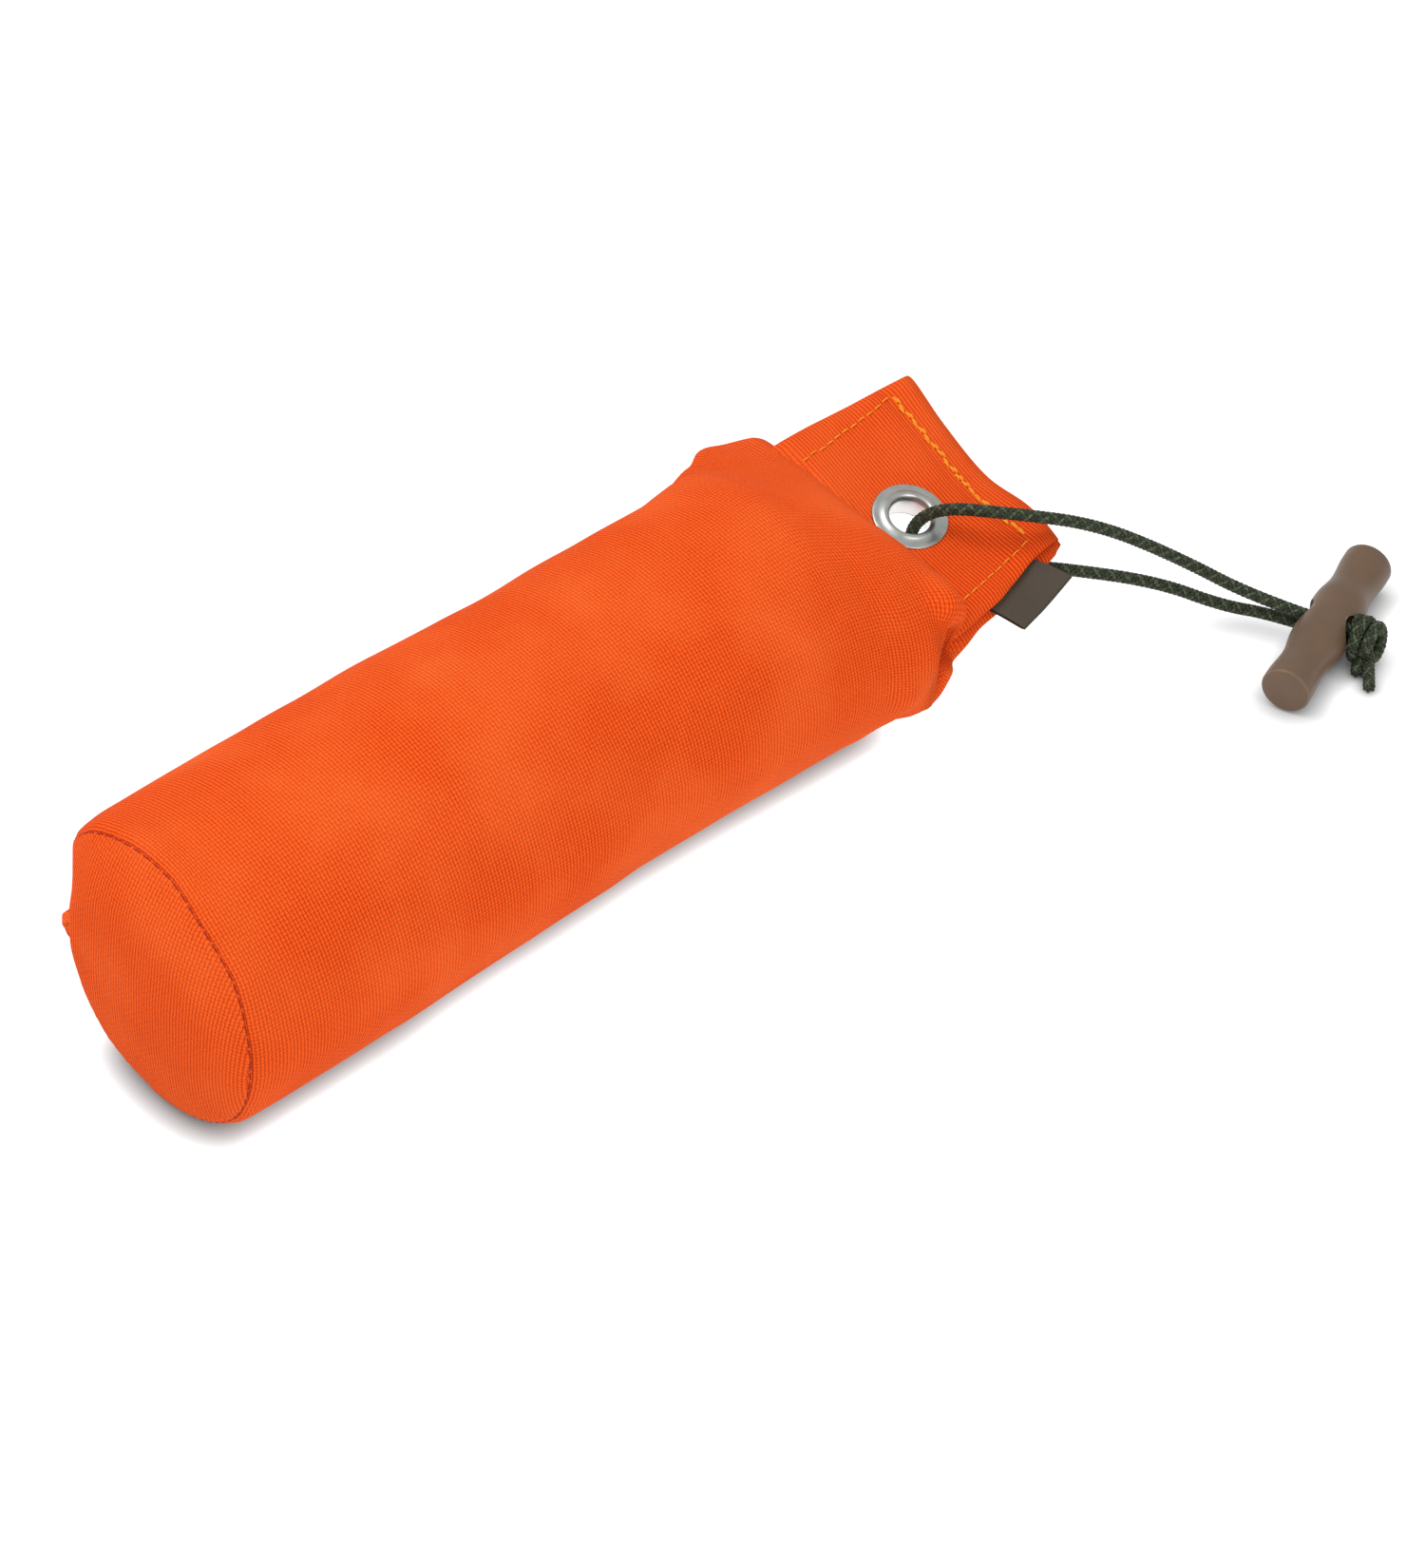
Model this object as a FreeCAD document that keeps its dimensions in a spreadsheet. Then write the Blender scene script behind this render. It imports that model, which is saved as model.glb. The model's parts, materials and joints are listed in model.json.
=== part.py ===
"""Training bumper: a canvas tube filled with granulate, a stitched flap with an eyelet, and a
throw cord with a toggle. Millimetres, +Z up, +X from the round base towards the flap. The origin
is the middle of the flat strip that the bumper lies on."""

import FreeCAD, Part
import math
import os
import Sketcher

Vector = FreeCAD.Vector

# Driving dimensions: alias, value, meaning.
DIMENSIONS = [
    ("body_radius", 30, "radius of the filled tube"),
    ("body_taper", 1.2, "how much smaller the tube is at its flap end"),
    ("body_sink", 1, "how far the round tube would reach below the floor without its flat"),
    ("half_length", 84, "from the middle of the tube to the base seam, and to the flap's crease"),
    ("end_bulge", 0.5, "how far the tube's closed end stands out past the crease"),
    ("end_wall", 4, "thickness of the folded canvas that closes the tube behind the flap"),
    ("canvas", 1, "thickness of one canvas layer"),
    ("fill_gap", 0.15, "air between the canvas and the fill"),
    ("seam_radius", 28.4, "radius of the base seam, drawn in by its thread"),
    ("dome_height", 5.5, "how far the base disc bulges"),
    ("lap_width", 9, "width of the felled side seam"),
    ("lap_height", 0.9, "how far the felled side seam stands out"),
    ("lap_angle", -15, "place of the side seam, in degrees up from the far side"),
    ("lap_row_inset", 1.5, "from the side seam's edge to its stitching"),
    ("flap_tilt", 18, "tilt of the flap about the long axis, far side up"),
    ("flap_height", 29.6, "height of the middle of the flap"),
    ("flap_root", 14, "from the eyelet's centre back to the crease"),
    ("flap_reach", 21, "from the eyelet's centre to the flap's end"),
    ("root_half_width", 26, "half width of the flap at the crease"),
    ("end_half_width", 23.2, "half width of the flap at its end"),
    ("fold_room", 4.2, "half height of the slot that the flap's root turns in"),
    ("fold_depth", 2.4, "from the crease to the bottom of that slot"),
    ("fold_side_room", 0.6, "air beside the flap's root in that slot"),
    ("gusset_depth", 20.5, "how far each side gusset is folded in"),
    ("hem_depth", 8, "how far the top layer returns under the flap"),
    ("layer_gap", 0.04, "air between two sewn layers"),
    ("eyelet_hole", 4, "radius of the eyelet's hole"),
    ("eyelet_wall", 0.6, "thickness of the eyelet's barrel"),
    ("eyelet_flange", 7.5, "outer radius of the eyelet"),
    ("flange_height", 0.9, "height of the eyelet's rolled flange"),
    ("lip_radius", 5.9, "radius of the eyelet's curled lip under the washer"),
    ("washer_thickness", 0.7, "thickness of the eyelet's washer"),
    ("thread", 0.5, "width of a stitch"),
    ("heavy_thread", 0.9, "width of a stitch in the doubled end row"),
    ("thread_height", 0.35, "how far a stitch stands out"),
    ("stitch_pitch", 3, "from one stitch to the next"),
    ("base_pitch", 2.6, "from one stitch of the base seam to the next"),
    ("row_inset", 5.6, "from the flap's edge to its stitching"),
    ("row_start", 5, "from the crease to where the far row starts"),
    ("row_gap", 1.2, "from the end row to each side row"),
    ("row_slant", 1, "how far back the end row runs at its far side"),
    ("far_row_shift", 3, "how much closer the far row lies to its edge"),
    ("label_start", -2, "from the eyelet's centre to the label's near edge, along the flap"),
    ("label_length", 16, "length of the side label along the flap"),
    ("label_reach", 6.4, "how far the side label stands out"),
    ("label_root", 26.1, "from the middle of the flap to the label's root"),
    ("ribbon", 0.36, "thickness of the label's ribbon"),
    ("cord_radius", 1.25, "radius of the braided cord"),
    ("bundle_half", 1.3, "half the distance between the two strands in the toggle"),
    ("bundle_roll", 95, "tilt of the two strands in the toggle, in degrees from level"),
    ("upper_bend", 14, "from the toggle's centre to where the upper strand turns"),
    ("lower_bend", 11.5, "from the toggle's centre to where the lower strand turns"),
    ("toggle_x", 157, "middle of the toggle, along the bumper"),
    ("toggle_y", -56, "middle of the toggle, across the bumper"),
    ("toggle_turn", 21, "direction of the toggle's length, in degrees from +X"),
    ("toggle_half", 20.4, "half the toggle's length"),
    ("toggle_end", 4.45, "radius of the toggle's ends"),
    ("toggle_middle", 5.4, "radius of the toggle's middle"),
    ("toggle_flat", 5, "half the length of the toggle's thick middle"),
    ("toggle_shoulder", 11.5, "from the toggle's centre to the end of its shoulder"),
    ("toggle_ease", 12, "radius that eases the toggle's shoulders"),
    ("toggle_edge", 0.4, "rounding of the toggle's end edges"),
    ("toggle_bore", 3.4, "radius of the hole through the toggle"),
    ("knot_start", 5.7, "from the toggle's centre to the knot"),
    ("knot_depth", 6.4, "size of the knot along the cord"),
    ("knot_width", 9.6, "size of the knot along the toggle"),
    ("knot_height", 7.6, "height of the knot"),
    ("knot_drop", 0.9, "how far the knot's middle lies below the toggle's"),
    ("knot_rounding", 1.2, "rounding of the knot's outer face"),
    ("knot_gap", 0.1, "air between the cord's ends and the knot"),
    ("tail_length", 7.6, "length of each cord tail"),
]

doc = FreeCAD.newDocument("training_bumper")
sheet = doc.addObject("Spreadsheet::Sheet", "dims")
for row, (alias, number, meaning) in enumerate(DIMENSIONS, start=1):
    sheet.set("A%d" % row, alias)
    sheet.set("B%d" % row, str(number))
    sheet.set("C%d" % row, meaning)
    sheet.setAlias("B%d" % row, alias)
doc.recompute()

ROUND = math.sqrt(0.5)  # where a circle crosses the diagonal, as a share of its radius
nodes = []


def size(alias):
    """The number in one cell of the sheet."""
    return float(sheet.get(alias))


def solve(formula):
    """The number that a formula such as "dims.canvas * 2" gives."""
    return float(sheet.evalExpression(formula))


# ---------------------------------------------------------------- PartDesign helpers


def new_body(label):
    body = doc.addObject("PartDesign::Body", label)
    body.Label = label
    body.AllowCompound = True
    nodes.append(body)
    return body


def attach(body, sketch, plane, offset):
    planes = {part.Role: part for part in body.Origin.OriginFeatures}
    sketch.AttachmentSupport = (planes[plane], "")
    sketch.MapMode = "FlatFace"
    sketch.setExpression("AttachmentOffset.Base.z", offset)


def pin(sketch, geometry, point, axis, formula):
    """Fix one coordinate of a sketch point at a formula of the sheet's cells."""
    number = solve(formula)
    if number == 0:
        axis_line = -2 if axis == "X" else -1
        sketch.addConstraint(Sketcher.Constraint("PointOnObject", geometry, point, axis_line))
        return
    name = "Distance" + axis
    index = sketch.addConstraint(Sketcher.Constraint(name, -1, 1, geometry, point, number))
    sketch.setExpression("Constraints[%d]" % index, formula)


def outline(body, name, corners, plane="XY_Plane", offset="0"):
    """A closed outline of straight lines. Each corner is a pair of formulas."""
    sketch = body.newObject("Sketcher::SketchObject", name)
    attach(body, sketch, plane, offset)
    points = [Vector(solve(x), solve(y), 0) for x, y in corners]
    count = len(points)
    for index in range(count):
        sketch.addGeometry(Part.LineSegment(points[index], points[(index + 1) % count]))
    for index in range(count):
        following = (index + 1) % count
        sketch.addConstraint(Sketcher.Constraint("Coincident", index, 2, following, 1))
    for index, corner in enumerate(corners):
        pin(sketch, index, 1, "X", corner[0])
        pin(sketch, index, 1, "Y", corner[1])
    return sketch


def circle(body, name, radius, plane="XY_Plane", offset="0"):
    """A circle about the body's origin."""
    sketch = body.newObject("Sketcher::SketchObject", name)
    attach(body, sketch, plane, offset)
    sketch.addGeometry(Part.Circle(Vector(), Vector(0, 0, 1), solve(radius)))
    sketch.addConstraint(Sketcher.Constraint("Coincident", 0, 3, -1, 1))
    index = sketch.addConstraint(Sketcher.Constraint("Radius", 0, solve(radius)))
    sketch.setExpression("Constraints[%d]" % index, radius)
    return sketch


def pad(body, sketch, length):
    feature = body.newObject("PartDesign::Pad", sketch.Name + "_pad")
    feature.Profile = sketch
    feature.setExpression("Length", length)
    sketch.Visibility = False
    return feature


def pocket(body, sketch, length):
    """Cut the sketch's outline out of the body, half the length to each side of the sketch."""
    doc.recompute()
    before = body.Shape.Volume
    feature = body.newObject("PartDesign::Pocket", sketch.Name + "_pocket")
    feature.Profile = sketch
    feature.Midplane = True
    feature.setExpression("Length", length)
    sketch.Visibility = False
    doc.recompute()
    if body.Shape.Volume > before - 0.1:
        raise RuntimeError("%s cuts nothing" % feature.Name)
    return feature


def revolve(body, sketch, axis):
    feature = body.newObject("PartDesign::Revolution", sketch.Name + "_turned")
    feature.Profile = sketch
    feature.ReferenceAxis = (sketch, [axis])
    feature.Angle = 360
    sketch.Visibility = False
    return feature


def fillet(body, feature, radius, chosen):
    """Round the edges of a feature for which chosen(edge) is true."""
    doc.recompute()
    names = ["Edge%d" % (n + 1) for n, edge in enumerate(feature.Shape.Edges) if chosen(edge)]
    rounding = body.newObject("PartDesign::Fillet", feature.Name + "_fillet")
    rounding.Base = (feature, names)
    rounding.Radius = radius
    return rounding


def place(body, axis, angle, x, y, z):
    """Bind a body's place and its turn about one axis to formulas."""
    body.Placement = FreeCAD.Placement(Vector(), FreeCAD.Rotation(axis, 1))
    body.setExpression("Placement.Rotation.Angle", angle)
    body.setExpression("Placement.Base.x", x)
    body.setExpression("Placement.Base.y", y)
    body.setExpression("Placement.Base.z", z)


def place_on_flap(body):
    """The flap's own frame: origin at the eyelet's centre, X along the bumper, tilted about X."""
    x = "dims.half_length + dims.flap_root"
    place(body, Vector(1, 0, 0), "dims.flap_tilt", x, "0", "dims.flap_height")


def flap_placement():
    turn = FreeCAD.Rotation(Vector(1, 0, 0), size("flap_tilt"))
    middle = Vector(size("half_length") + size("flap_root"), 0, size("flap_height"))
    return FreeCAD.Placement(middle, turn)


def direction(degrees):
    """A level unit vector, by its angle from +X."""
    return Vector(math.cos(math.radians(degrees)), math.sin(math.radians(degrees)), 0)


def add_shape(label, shape, placement=None):
    """A sub-part whose shape is made with Part's own functions."""
    feature = doc.addObject("Part::Feature", label)
    feature.Label = label
    feature.Shape = shape
    if placement:
        feature.Placement = placement
    nodes.append(feature)
    return feature


# ---------------------------------------------------------------- the filled tube


def tube_sections():
    """Sections of the tube from the base to the flap: place along X, half width, half height,
    height of the centre, and squareness, which is where the outline crosses its diagonal."""
    end = size("half_length")
    seam = size("seam_radius")
    radius = size("body_radius")
    centre = radius - size("body_sink")
    neck = radius - size("body_taper")
    neck_centre = centre - size("body_taper")
    return [
        (-end, seam, seam, centre, ROUND),
        (-end + 1.5, radius - 0.75, radius - 0.75, centre, ROUND),
        (-end + 4, radius - 0.25, radius - 0.25, centre, ROUND),
        (-end + 9, radius, radius, centre, ROUND),
        (end - 34, neck, neck, neck_centre, ROUND),
        (end - 25, neck + 0.5, neck - 0.5, neck_centre - 0.4, ROUND + 0.005),
        (end - 17, neck + 1.2, neck - 1.8, neck_centre - 1, ROUND + 0.02),
        (end - 10, neck + 2, neck - 4, neck_centre - 2.8, ROUND + 0.045),
        (end - 5, neck + 2.4, neck - 7, neck_centre - 4.3, ROUND + 0.075),
        (end - 1.5, neck + 2.2, neck - 9.4, neck_centre - 5, ROUND + 0.1),
        (end + size("end_bulge"), neck + 0.8, neck - 11.8, neck_centre - 5.2, ROUND + 0.11),
    ]


def section_wire(x, half_width, half_height, centre, squareness):
    """One closed smooth outline through the four sides and the four corners."""
    corner = squareness
    steps = [(1, 0), (corner, corner), (0, 1), (-corner, corner),
             (-1, 0), (-corner, -corner), (0, -1), (corner, -corner)]
    points = [Vector(x, half_width * y, centre + half_height * z) for y, z in steps]
    curve = Part.BSplineCurve()
    curve.interpolate(Points=points, PeriodicFlag=True)
    return Part.Wire([curve.toShape()])


def box(low, high):
    return Part.makeBox(high.x - low.x, high.y - low.y, high.z - low.z, low)


def tube(grow, start, stop, floor):
    """The tube grown by a distance, between two places along X and above a floor."""
    wires = [section_wire(x, wide + grow, tall + grow, centre, squareness)
             for x, wide, tall, centre, squareness in tube_sections()]
    reach = 2 * size("body_radius")
    room = box(Vector(start, -reach, floor), Vector(stop, reach, reach + size("body_radius")))
    return Part.makeLoft(wires, True, True).common(room)


def dome(inset, base):
    """The ball segment behind the base seam, inset from the base disc's outside."""
    rise = size("dome_height")
    seam = size("seam_radius")
    ball_radius = (seam ** 2 + rise ** 2) / (2 * rise)
    centre_z = size("body_radius") - size("body_sink")
    centre = Vector(-size("half_length") - rise + ball_radius, 0, centre_z)
    ball = Part.makeSphere(ball_radius - inset, centre)
    room = box(Vector(-size("half_length") - 2 * rise, -seam, 0), Vector(base, seam, 2 * centre_z))
    return ball.common(room)


def make_body_panel():
    """The canvas tube with its closed end, cut back where the flap's root turns."""
    start, stop = -size("half_length"), size("half_length") + size("end_bulge")
    outside = tube(0, start, stop, 0)
    inside = tube(-size("canvas"), start, stop - size("end_wall"), size("canvas"))
    room = size("fold_room")
    width = size("root_half_width") + size("fold_side_room")
    bottom = -size("flap_root") - size("fold_depth")
    slot = box(Vector(bottom, -width, -room), Vector(0, width, room))
    slot.Placement = flap_placement()
    add_shape("body_panel", outside.cut(inside).cut(slot))


def make_base_disc():
    end = size("half_length")
    add_shape("base_disc", dome(0, -end).cut(dome(size("canvas"), -end)))


def make_fill():
    """The granulate, a little smaller than the room inside the canvas."""
    end = size("half_length")
    gap = size("fill_gap")
    inset = size("canvas") + gap
    stop = end + size("end_bulge") - size("end_wall") - gap
    main = tube(-inset, -end + gap, stop, inset)
    add_shape("granulate_fill", main.fuse(dome(inset, -end + 2 * gap)).removeSplitter())


def tube_radius(x):
    """Radius and centre height of the round part of the tube."""
    sections = [s for s in tube_sections() if s[4] == ROUND]
    for first, second in zip(sections, sections[1:]):
        if first[0] <= x <= second[0]:
            share = (x - first[0]) / (second[0] - first[0])
            return (first[1] + share * (second[1] - first[1]),
                    first[3] + share * (second[3] - first[3]))
    raise ValueError("no round section at %g" % x)


def make_side_seam():
    """The felled seam along the tube, and its two rows of stitches."""
    end = size("half_length")
    start, stop = -end + 1.5, end - 10
    lap = tube(size("lap_height"), start, stop, 0).cut(tube(0, start, stop, 0))
    half = size("lap_width") / 2
    strip = box(Vector(start, 0, -half), Vector(stop, 2 * size("body_radius"), half))
    turn = FreeCAD.Rotation(Vector(1, 0, 0), size("lap_angle"))
    centre = size("body_radius") - size("body_sink")
    strip.Placement = FreeCAD.Placement(Vector(0, 0, centre), turn)
    add_shape("side_seam_lap", lap.common(strip))

    stitches = []
    pitch = size("stitch_pitch")
    row_start, row_stop = start + pitch, end - 36
    count = int((row_stop - row_start) / pitch)
    for step in range(count):
        x = row_start + step * pitch
        radius, height = tube_radius(x)
        reach = radius + size("lap_height") + 2 * size("layer_gap")
        for side in (-1, 1):
            swing = math.degrees(side * (half - size("lap_row_inset")) / radius)
            stitch = Part.makeBox(0.7 * pitch, size("thread_height"), size("thread"))
            stitch.translate(Vector(x, reach, -size("thread") / 2))
            turn = FreeCAD.Rotation(Vector(1, 0, 0), size("lap_angle") + swing)
            stitch.Placement = FreeCAD.Placement(Vector(0, 0, height), turn).multiply(
                stitch.Placement)
            stitches.append(stitch)
    add_shape("side_seam_stitches", Part.makeCompound(stitches))


def make_base_stitches():
    """Stitches round the seam of the base disc, each lying across the seam."""
    seam = size("seam_radius")
    centre = size("body_radius") - size("body_sink")
    reach = seam + size("layer_gap")
    count = int(2 * math.pi * seam / size("base_pitch"))
    length = 0.65 * size("base_pitch")
    stitches = []
    for index in range(count):
        stitch = Part.makeBox(size("thread"), length, size("thread_height"))
        stitch.translate(Vector(-size("half_length") - size("thread"), -length / 2, reach))
        turn = FreeCAD.Rotation(Vector(1, 0, 0), 360 * index / count)
        stitch.Placement = FreeCAD.Placement(Vector(0, 0, centre), turn).multiply(stitch.Placement)
        stitches.append(stitch)
    add_shape("base_seam_stitches", Part.makeCompound(stitches))


# ---------------------------------------------------------------- the flap

ROOT = "-dims.flap_root - 0.3"
INNER_END = "dims.flap_reach - dims.canvas - 0.1"
TOP_FACE = "2 * dims.canvas"


def half_width_at(x):
    """Formula of the flap's half width at a place along the flap."""
    taper = "(dims.root_half_width - dims.end_half_width) / (dims.flap_root + dims.flap_reach)"
    return "(dims.end_half_width + (dims.flap_reach - (%s)) * %s)" % (x, taper)


def layer_corners(end):
    """Outline of a flap layer from the crease to a place along the flap."""
    root_width = half_width_at(ROOT)
    end_width = half_width_at(end)
    return [(ROOT, "-" + root_width), (end, "-" + end_width), (end, end_width), (ROOT, root_width)]


def make_top_layer():
    """The top layer turns down round the flap's end and returns under it as a hem."""
    body = new_body("flap_top_layer")
    end = "dims.flap_reach"
    width = "dims.end_half_width"
    pad(body, outline(body, "top_outline", layer_corners(end), offset="dims.canvas"), "dims.canvas")
    wrap = [(end + " - dims.canvas", "-" + width), (end, "-" + width),
            (end, width), (end + " - dims.canvas", width)]
    sketch = outline(body, "wrap_outline", wrap, offset="-3 * dims.canvas")
    pad(body, sketch, "5 * dims.canvas")
    start = end + " - dims.hem_depth"
    hem = [(start, "-" + width), (end, "-" + width), (end, width), (start, width)]
    pad(body, outline(body, "hem_outline", hem, offset="-3 * dims.canvas"), "dims.canvas")
    hole = circle(body, "top_hole", "dims.eyelet_hole + dims.eyelet_wall + dims.layer_gap")
    pocket(body, hole, "8 * dims.canvas")
    place_on_flap(body)


def make_bottom_layer():
    body = new_body("flap_bottom_layer")
    sketch = outline(body, "bottom_outline", layer_corners(INNER_END), offset=TOP_FACE + " * -1")
    pad(body, sketch, "dims.canvas")
    hole = circle(body, "bottom_hole", "dims.eyelet_hole + dims.eyelet_wall + dims.layer_gap")
    pocket(body, hole, "8 * dims.canvas")
    place_on_flap(body)


def make_gusset(label, side):
    """A side gusset: canvas folded in between the layers, open towards the flap's edge."""
    body = new_body(label)
    sign = "%d * " % side
    depth = "(dims.root_half_width - dims.gusset_depth)"
    root = half_width_at(ROOT)
    end = half_width_at(INNER_END)
    corners = [(ROOT, sign + depth), (INNER_END, sign + depth),
               (INNER_END, sign + end), (ROOT, sign + root)]
    sketch = outline(body, label + "_outline", corners, offset="-dims.canvas + dims.layer_gap / 2")
    pad(body, sketch, "2 * dims.canvas - dims.layer_gap")
    fold = "(%s + dims.canvas)" % depth
    past = "(dims.root_half_width + dims.canvas)"
    slit = [(ROOT + " - 1", sign + fold), (INNER_END + " + 1", sign + fold),
            (INNER_END + " + 1", sign + past), (ROOT + " - 1", sign + past)]
    pocket(body, outline(body, label + "_slit", slit), "3 * dims.layer_gap")
    place_on_flap(body)


def stitch_row(start, stop, pitch, width, placement):
    """Stitches from one point of the flap's top to another, as small bars on the canvas."""
    run = stop - start
    count = round(run.Length / pitch)
    angle = math.degrees(math.atan2(run.y, run.x))
    length = 0.72 * run.Length / count
    bars = []
    for index in range(count):
        middle = start + run * ((index + 0.5) / count)
        bar = Part.makeBox(length, width, size("thread_height"), Vector(-length / 2, -width / 2, 0))
        turn = FreeCAD.Rotation(Vector(0, 0, 1), angle)
        bar.Placement = placement.multiply(FreeCAD.Placement(middle, turn))
        bars.append(bar)
    return bars


def make_flap_stitches():
    """The doubled row across the flap's end, and the row along each side."""
    placement = flap_placement()
    inset = size("row_inset")
    face = solve(TOP_FACE)
    slant = size("row_slant")
    end = size("flap_reach") - inset - slant
    root = -size("flap_root") + size("row_start")
    near = -size("end_half_width") + inset
    far = size("end_half_width") - inset + size("far_row_shift")
    widening = 0.8 * (size("root_half_width") - size("end_half_width"))
    gap = size("row_gap")
    heavy = stitch_row(Vector(end, near + gap, face), Vector(end - slant, far - gap, face),
                       size("stitch_pitch"), size("heavy_thread"), placement)
    add_shape("flap_end_stitches", Part.makeCompound(heavy))
    near_row = stitch_row(Vector(root + 2 * slant, near - widening, face),
                          Vector(end - slant, near, face),
                          size("stitch_pitch"), size("thread"), placement)
    add_shape("flap_near_stitches", Part.makeCompound(near_row))
    far_row = stitch_row(Vector(root, far, face), Vector(end - slant, far, face),
                         size("stitch_pitch"), size("thread"), placement)
    add_shape("flap_far_stitches", Part.makeCompound(far_row))


def make_eyelet():
    """The eyelet is pressed through all layers; its lip is curled over the washer."""
    hole = "dims.eyelet_hole"
    barrel = "dims.eyelet_hole + dims.eyelet_wall"
    face = TOP_FACE
    crown = face + " + dims.flange_height"
    seat = "-%s - 3 * dims.layer_gap - dims.washer_thickness" % face
    lip = seat + " - dims.flange_height"
    body = new_body("eyelet")
    profile = [(hole, lip), ("dims.lip_radius", lip), ("dims.lip_radius", seat), (barrel, seat),
               (barrel, face), ("dims.eyelet_flange", face), ("dims.eyelet_flange", crown),
               (hole, crown)]
    sketch = outline(body, "eyelet_profile", profile, plane="XZ_Plane")
    turned = revolve(body, sketch, "V_Axis")
    high, low = solve(crown), solve(lip)
    flange = size("eyelet_flange")

    def on_rim(edge):
        ends = {round(vertex.Z, 3) for vertex in edge.Vertexes}
        return isinstance(edge.Curve, Part.Circle) and bool(ends & {round(high, 3), round(low, 3)})

    rounding = fillet(body, turned, 0.4, on_rim)
    rounding.setExpression("Radius", "dims.flange_height * 0.44")
    place_on_flap(body)

    body = new_body("eyelet_washer")
    bottom = "-%s - 2 * dims.layer_gap - dims.washer_thickness" % face
    inner = "dims.eyelet_hole + dims.eyelet_wall + dims.layer_gap"
    outer = "dims.eyelet_flange - 0.2"
    profile = [(inner, bottom), (outer, bottom),
               (outer, bottom + " + dims.washer_thickness"),
               (inner, bottom + " + dims.washer_thickness")]
    revolve(body, outline(body, "washer_profile", profile, plane="XZ_Plane"), "V_Axis")
    place_on_flap(body)


def make_side_label():
    """A ribbon folded double, standing out from the flap's near edge."""
    body = new_body("side_label")
    low = "-dims.ribbon - dims.layer_gap"
    start, stop = "dims.label_start", "(dims.label_start + dims.label_length)"
    root, reach = "-dims.label_root", "-dims.label_root - dims.label_reach"
    corners = [(start, reach), (stop, reach), (stop, root), (start, root)]
    pad(body, outline(body, "label_outline", corners, offset=low),
        "2 * (dims.ribbon + dims.layer_gap)")
    fold = reach + " + dims.ribbon"
    slit = [(start + " - 1", fold), (stop + " + 1", fold),
            (stop + " + 1", root + " + 1"), (start + " - 1", root + " + 1")]
    pocket(body, outline(body, "label_slit", slit), "2 * dims.layer_gap")
    place_on_flap(body)


# ---------------------------------------------------------------- the throw cord


def bundle_direction():
    """Direction of the two strands through the toggle, towards the knot."""
    return direction(size("toggle_turn") - 90)


def toggle_centre():
    return Vector(size("toggle_x"), size("toggle_y"), size("toggle_middle"))


def strand_point(along, side):
    """A point on one of the two strands, from the toggle's centre towards the knot."""
    roll = math.radians(size("bundle_roll"))
    across = direction(size("toggle_turn")) * math.cos(roll) + Vector(0, 0, math.sin(roll))
    return toggle_centre() + bundle_direction() * along + across * (side * size("bundle_half"))


def cord_route():
    """Corners of the loop: from the knot through the toggle, up over the flap, down through the
    eyelet, and back under the flap."""
    ends = size("knot_start") - size("knot_gap")
    return [
        strand_point(ends, 1),
        strand_point(-size("upper_bend"), 1),
        Vector(137.5, -33, 20),
        Vector(122.5, -26.2, 32.2),
        Vector(108.8, -18, 37.4),
        Vector(99.4, -3.6, 35.6),
        Vector(98.5, 1.8, 22),
        Vector(109.5, -10.2, 19.8),
        Vector(121, -20.2, 18),
        Vector(136.5, -30, 12),
        Vector(147.5, -37.4, 4.2),
        strand_point(-size("lower_bend"), -1),
        strand_point(ends, -1),
    ]


def rounded_path(points):
    """Straight runs joined by tangent arcs as large as the runs allow."""
    edges = []
    last = points[0]
    for before, corner, after in zip(points, points[1:], points[2:]):
        back = (before - corner).normalize()
        ahead = (after - corner).normalize()
        turn = math.pi - back.getAngle(ahead)
        reach = 0.45 * min((before - corner).Length, (after - corner).Length)
        radius = reach / math.tan(turn / 2)
        print("cord turns %.0f degrees at radius %.1f" % (math.degrees(turn), radius))
        inward = (back + ahead).normalize()
        middle = corner + inward * (radius / math.cos(turn / 2) - radius)
        first, second = corner + back * reach, corner + ahead * reach
        edges.append(Part.LineSegment(last, first).toShape())
        edges.append(Part.Arc(first, middle, second).toShape())
        last = second
    edges.append(Part.LineSegment(last, points[-1]).toShape())
    return Part.Wire(edges)


def make_throw_cord():
    points = cord_route()
    path = rounded_path(points)
    radius = size("cord_radius")
    start = Part.Wire([Part.makeCircle(radius, points[0], points[1] - points[0])])
    shape = path.makePipeShell([start], True, False, 2)
    expected = math.pi * radius ** 2 * path.Length
    print("cord is %.1f long, volume %.0f of %.0f" % (path.Length, shape.Volume, expected))
    if abs(shape.Volume - expected) > 0.01 * expected:
        raise RuntimeError("the cord's tube has the wrong volume")
    add_shape("throw_cord", shape)


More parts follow.
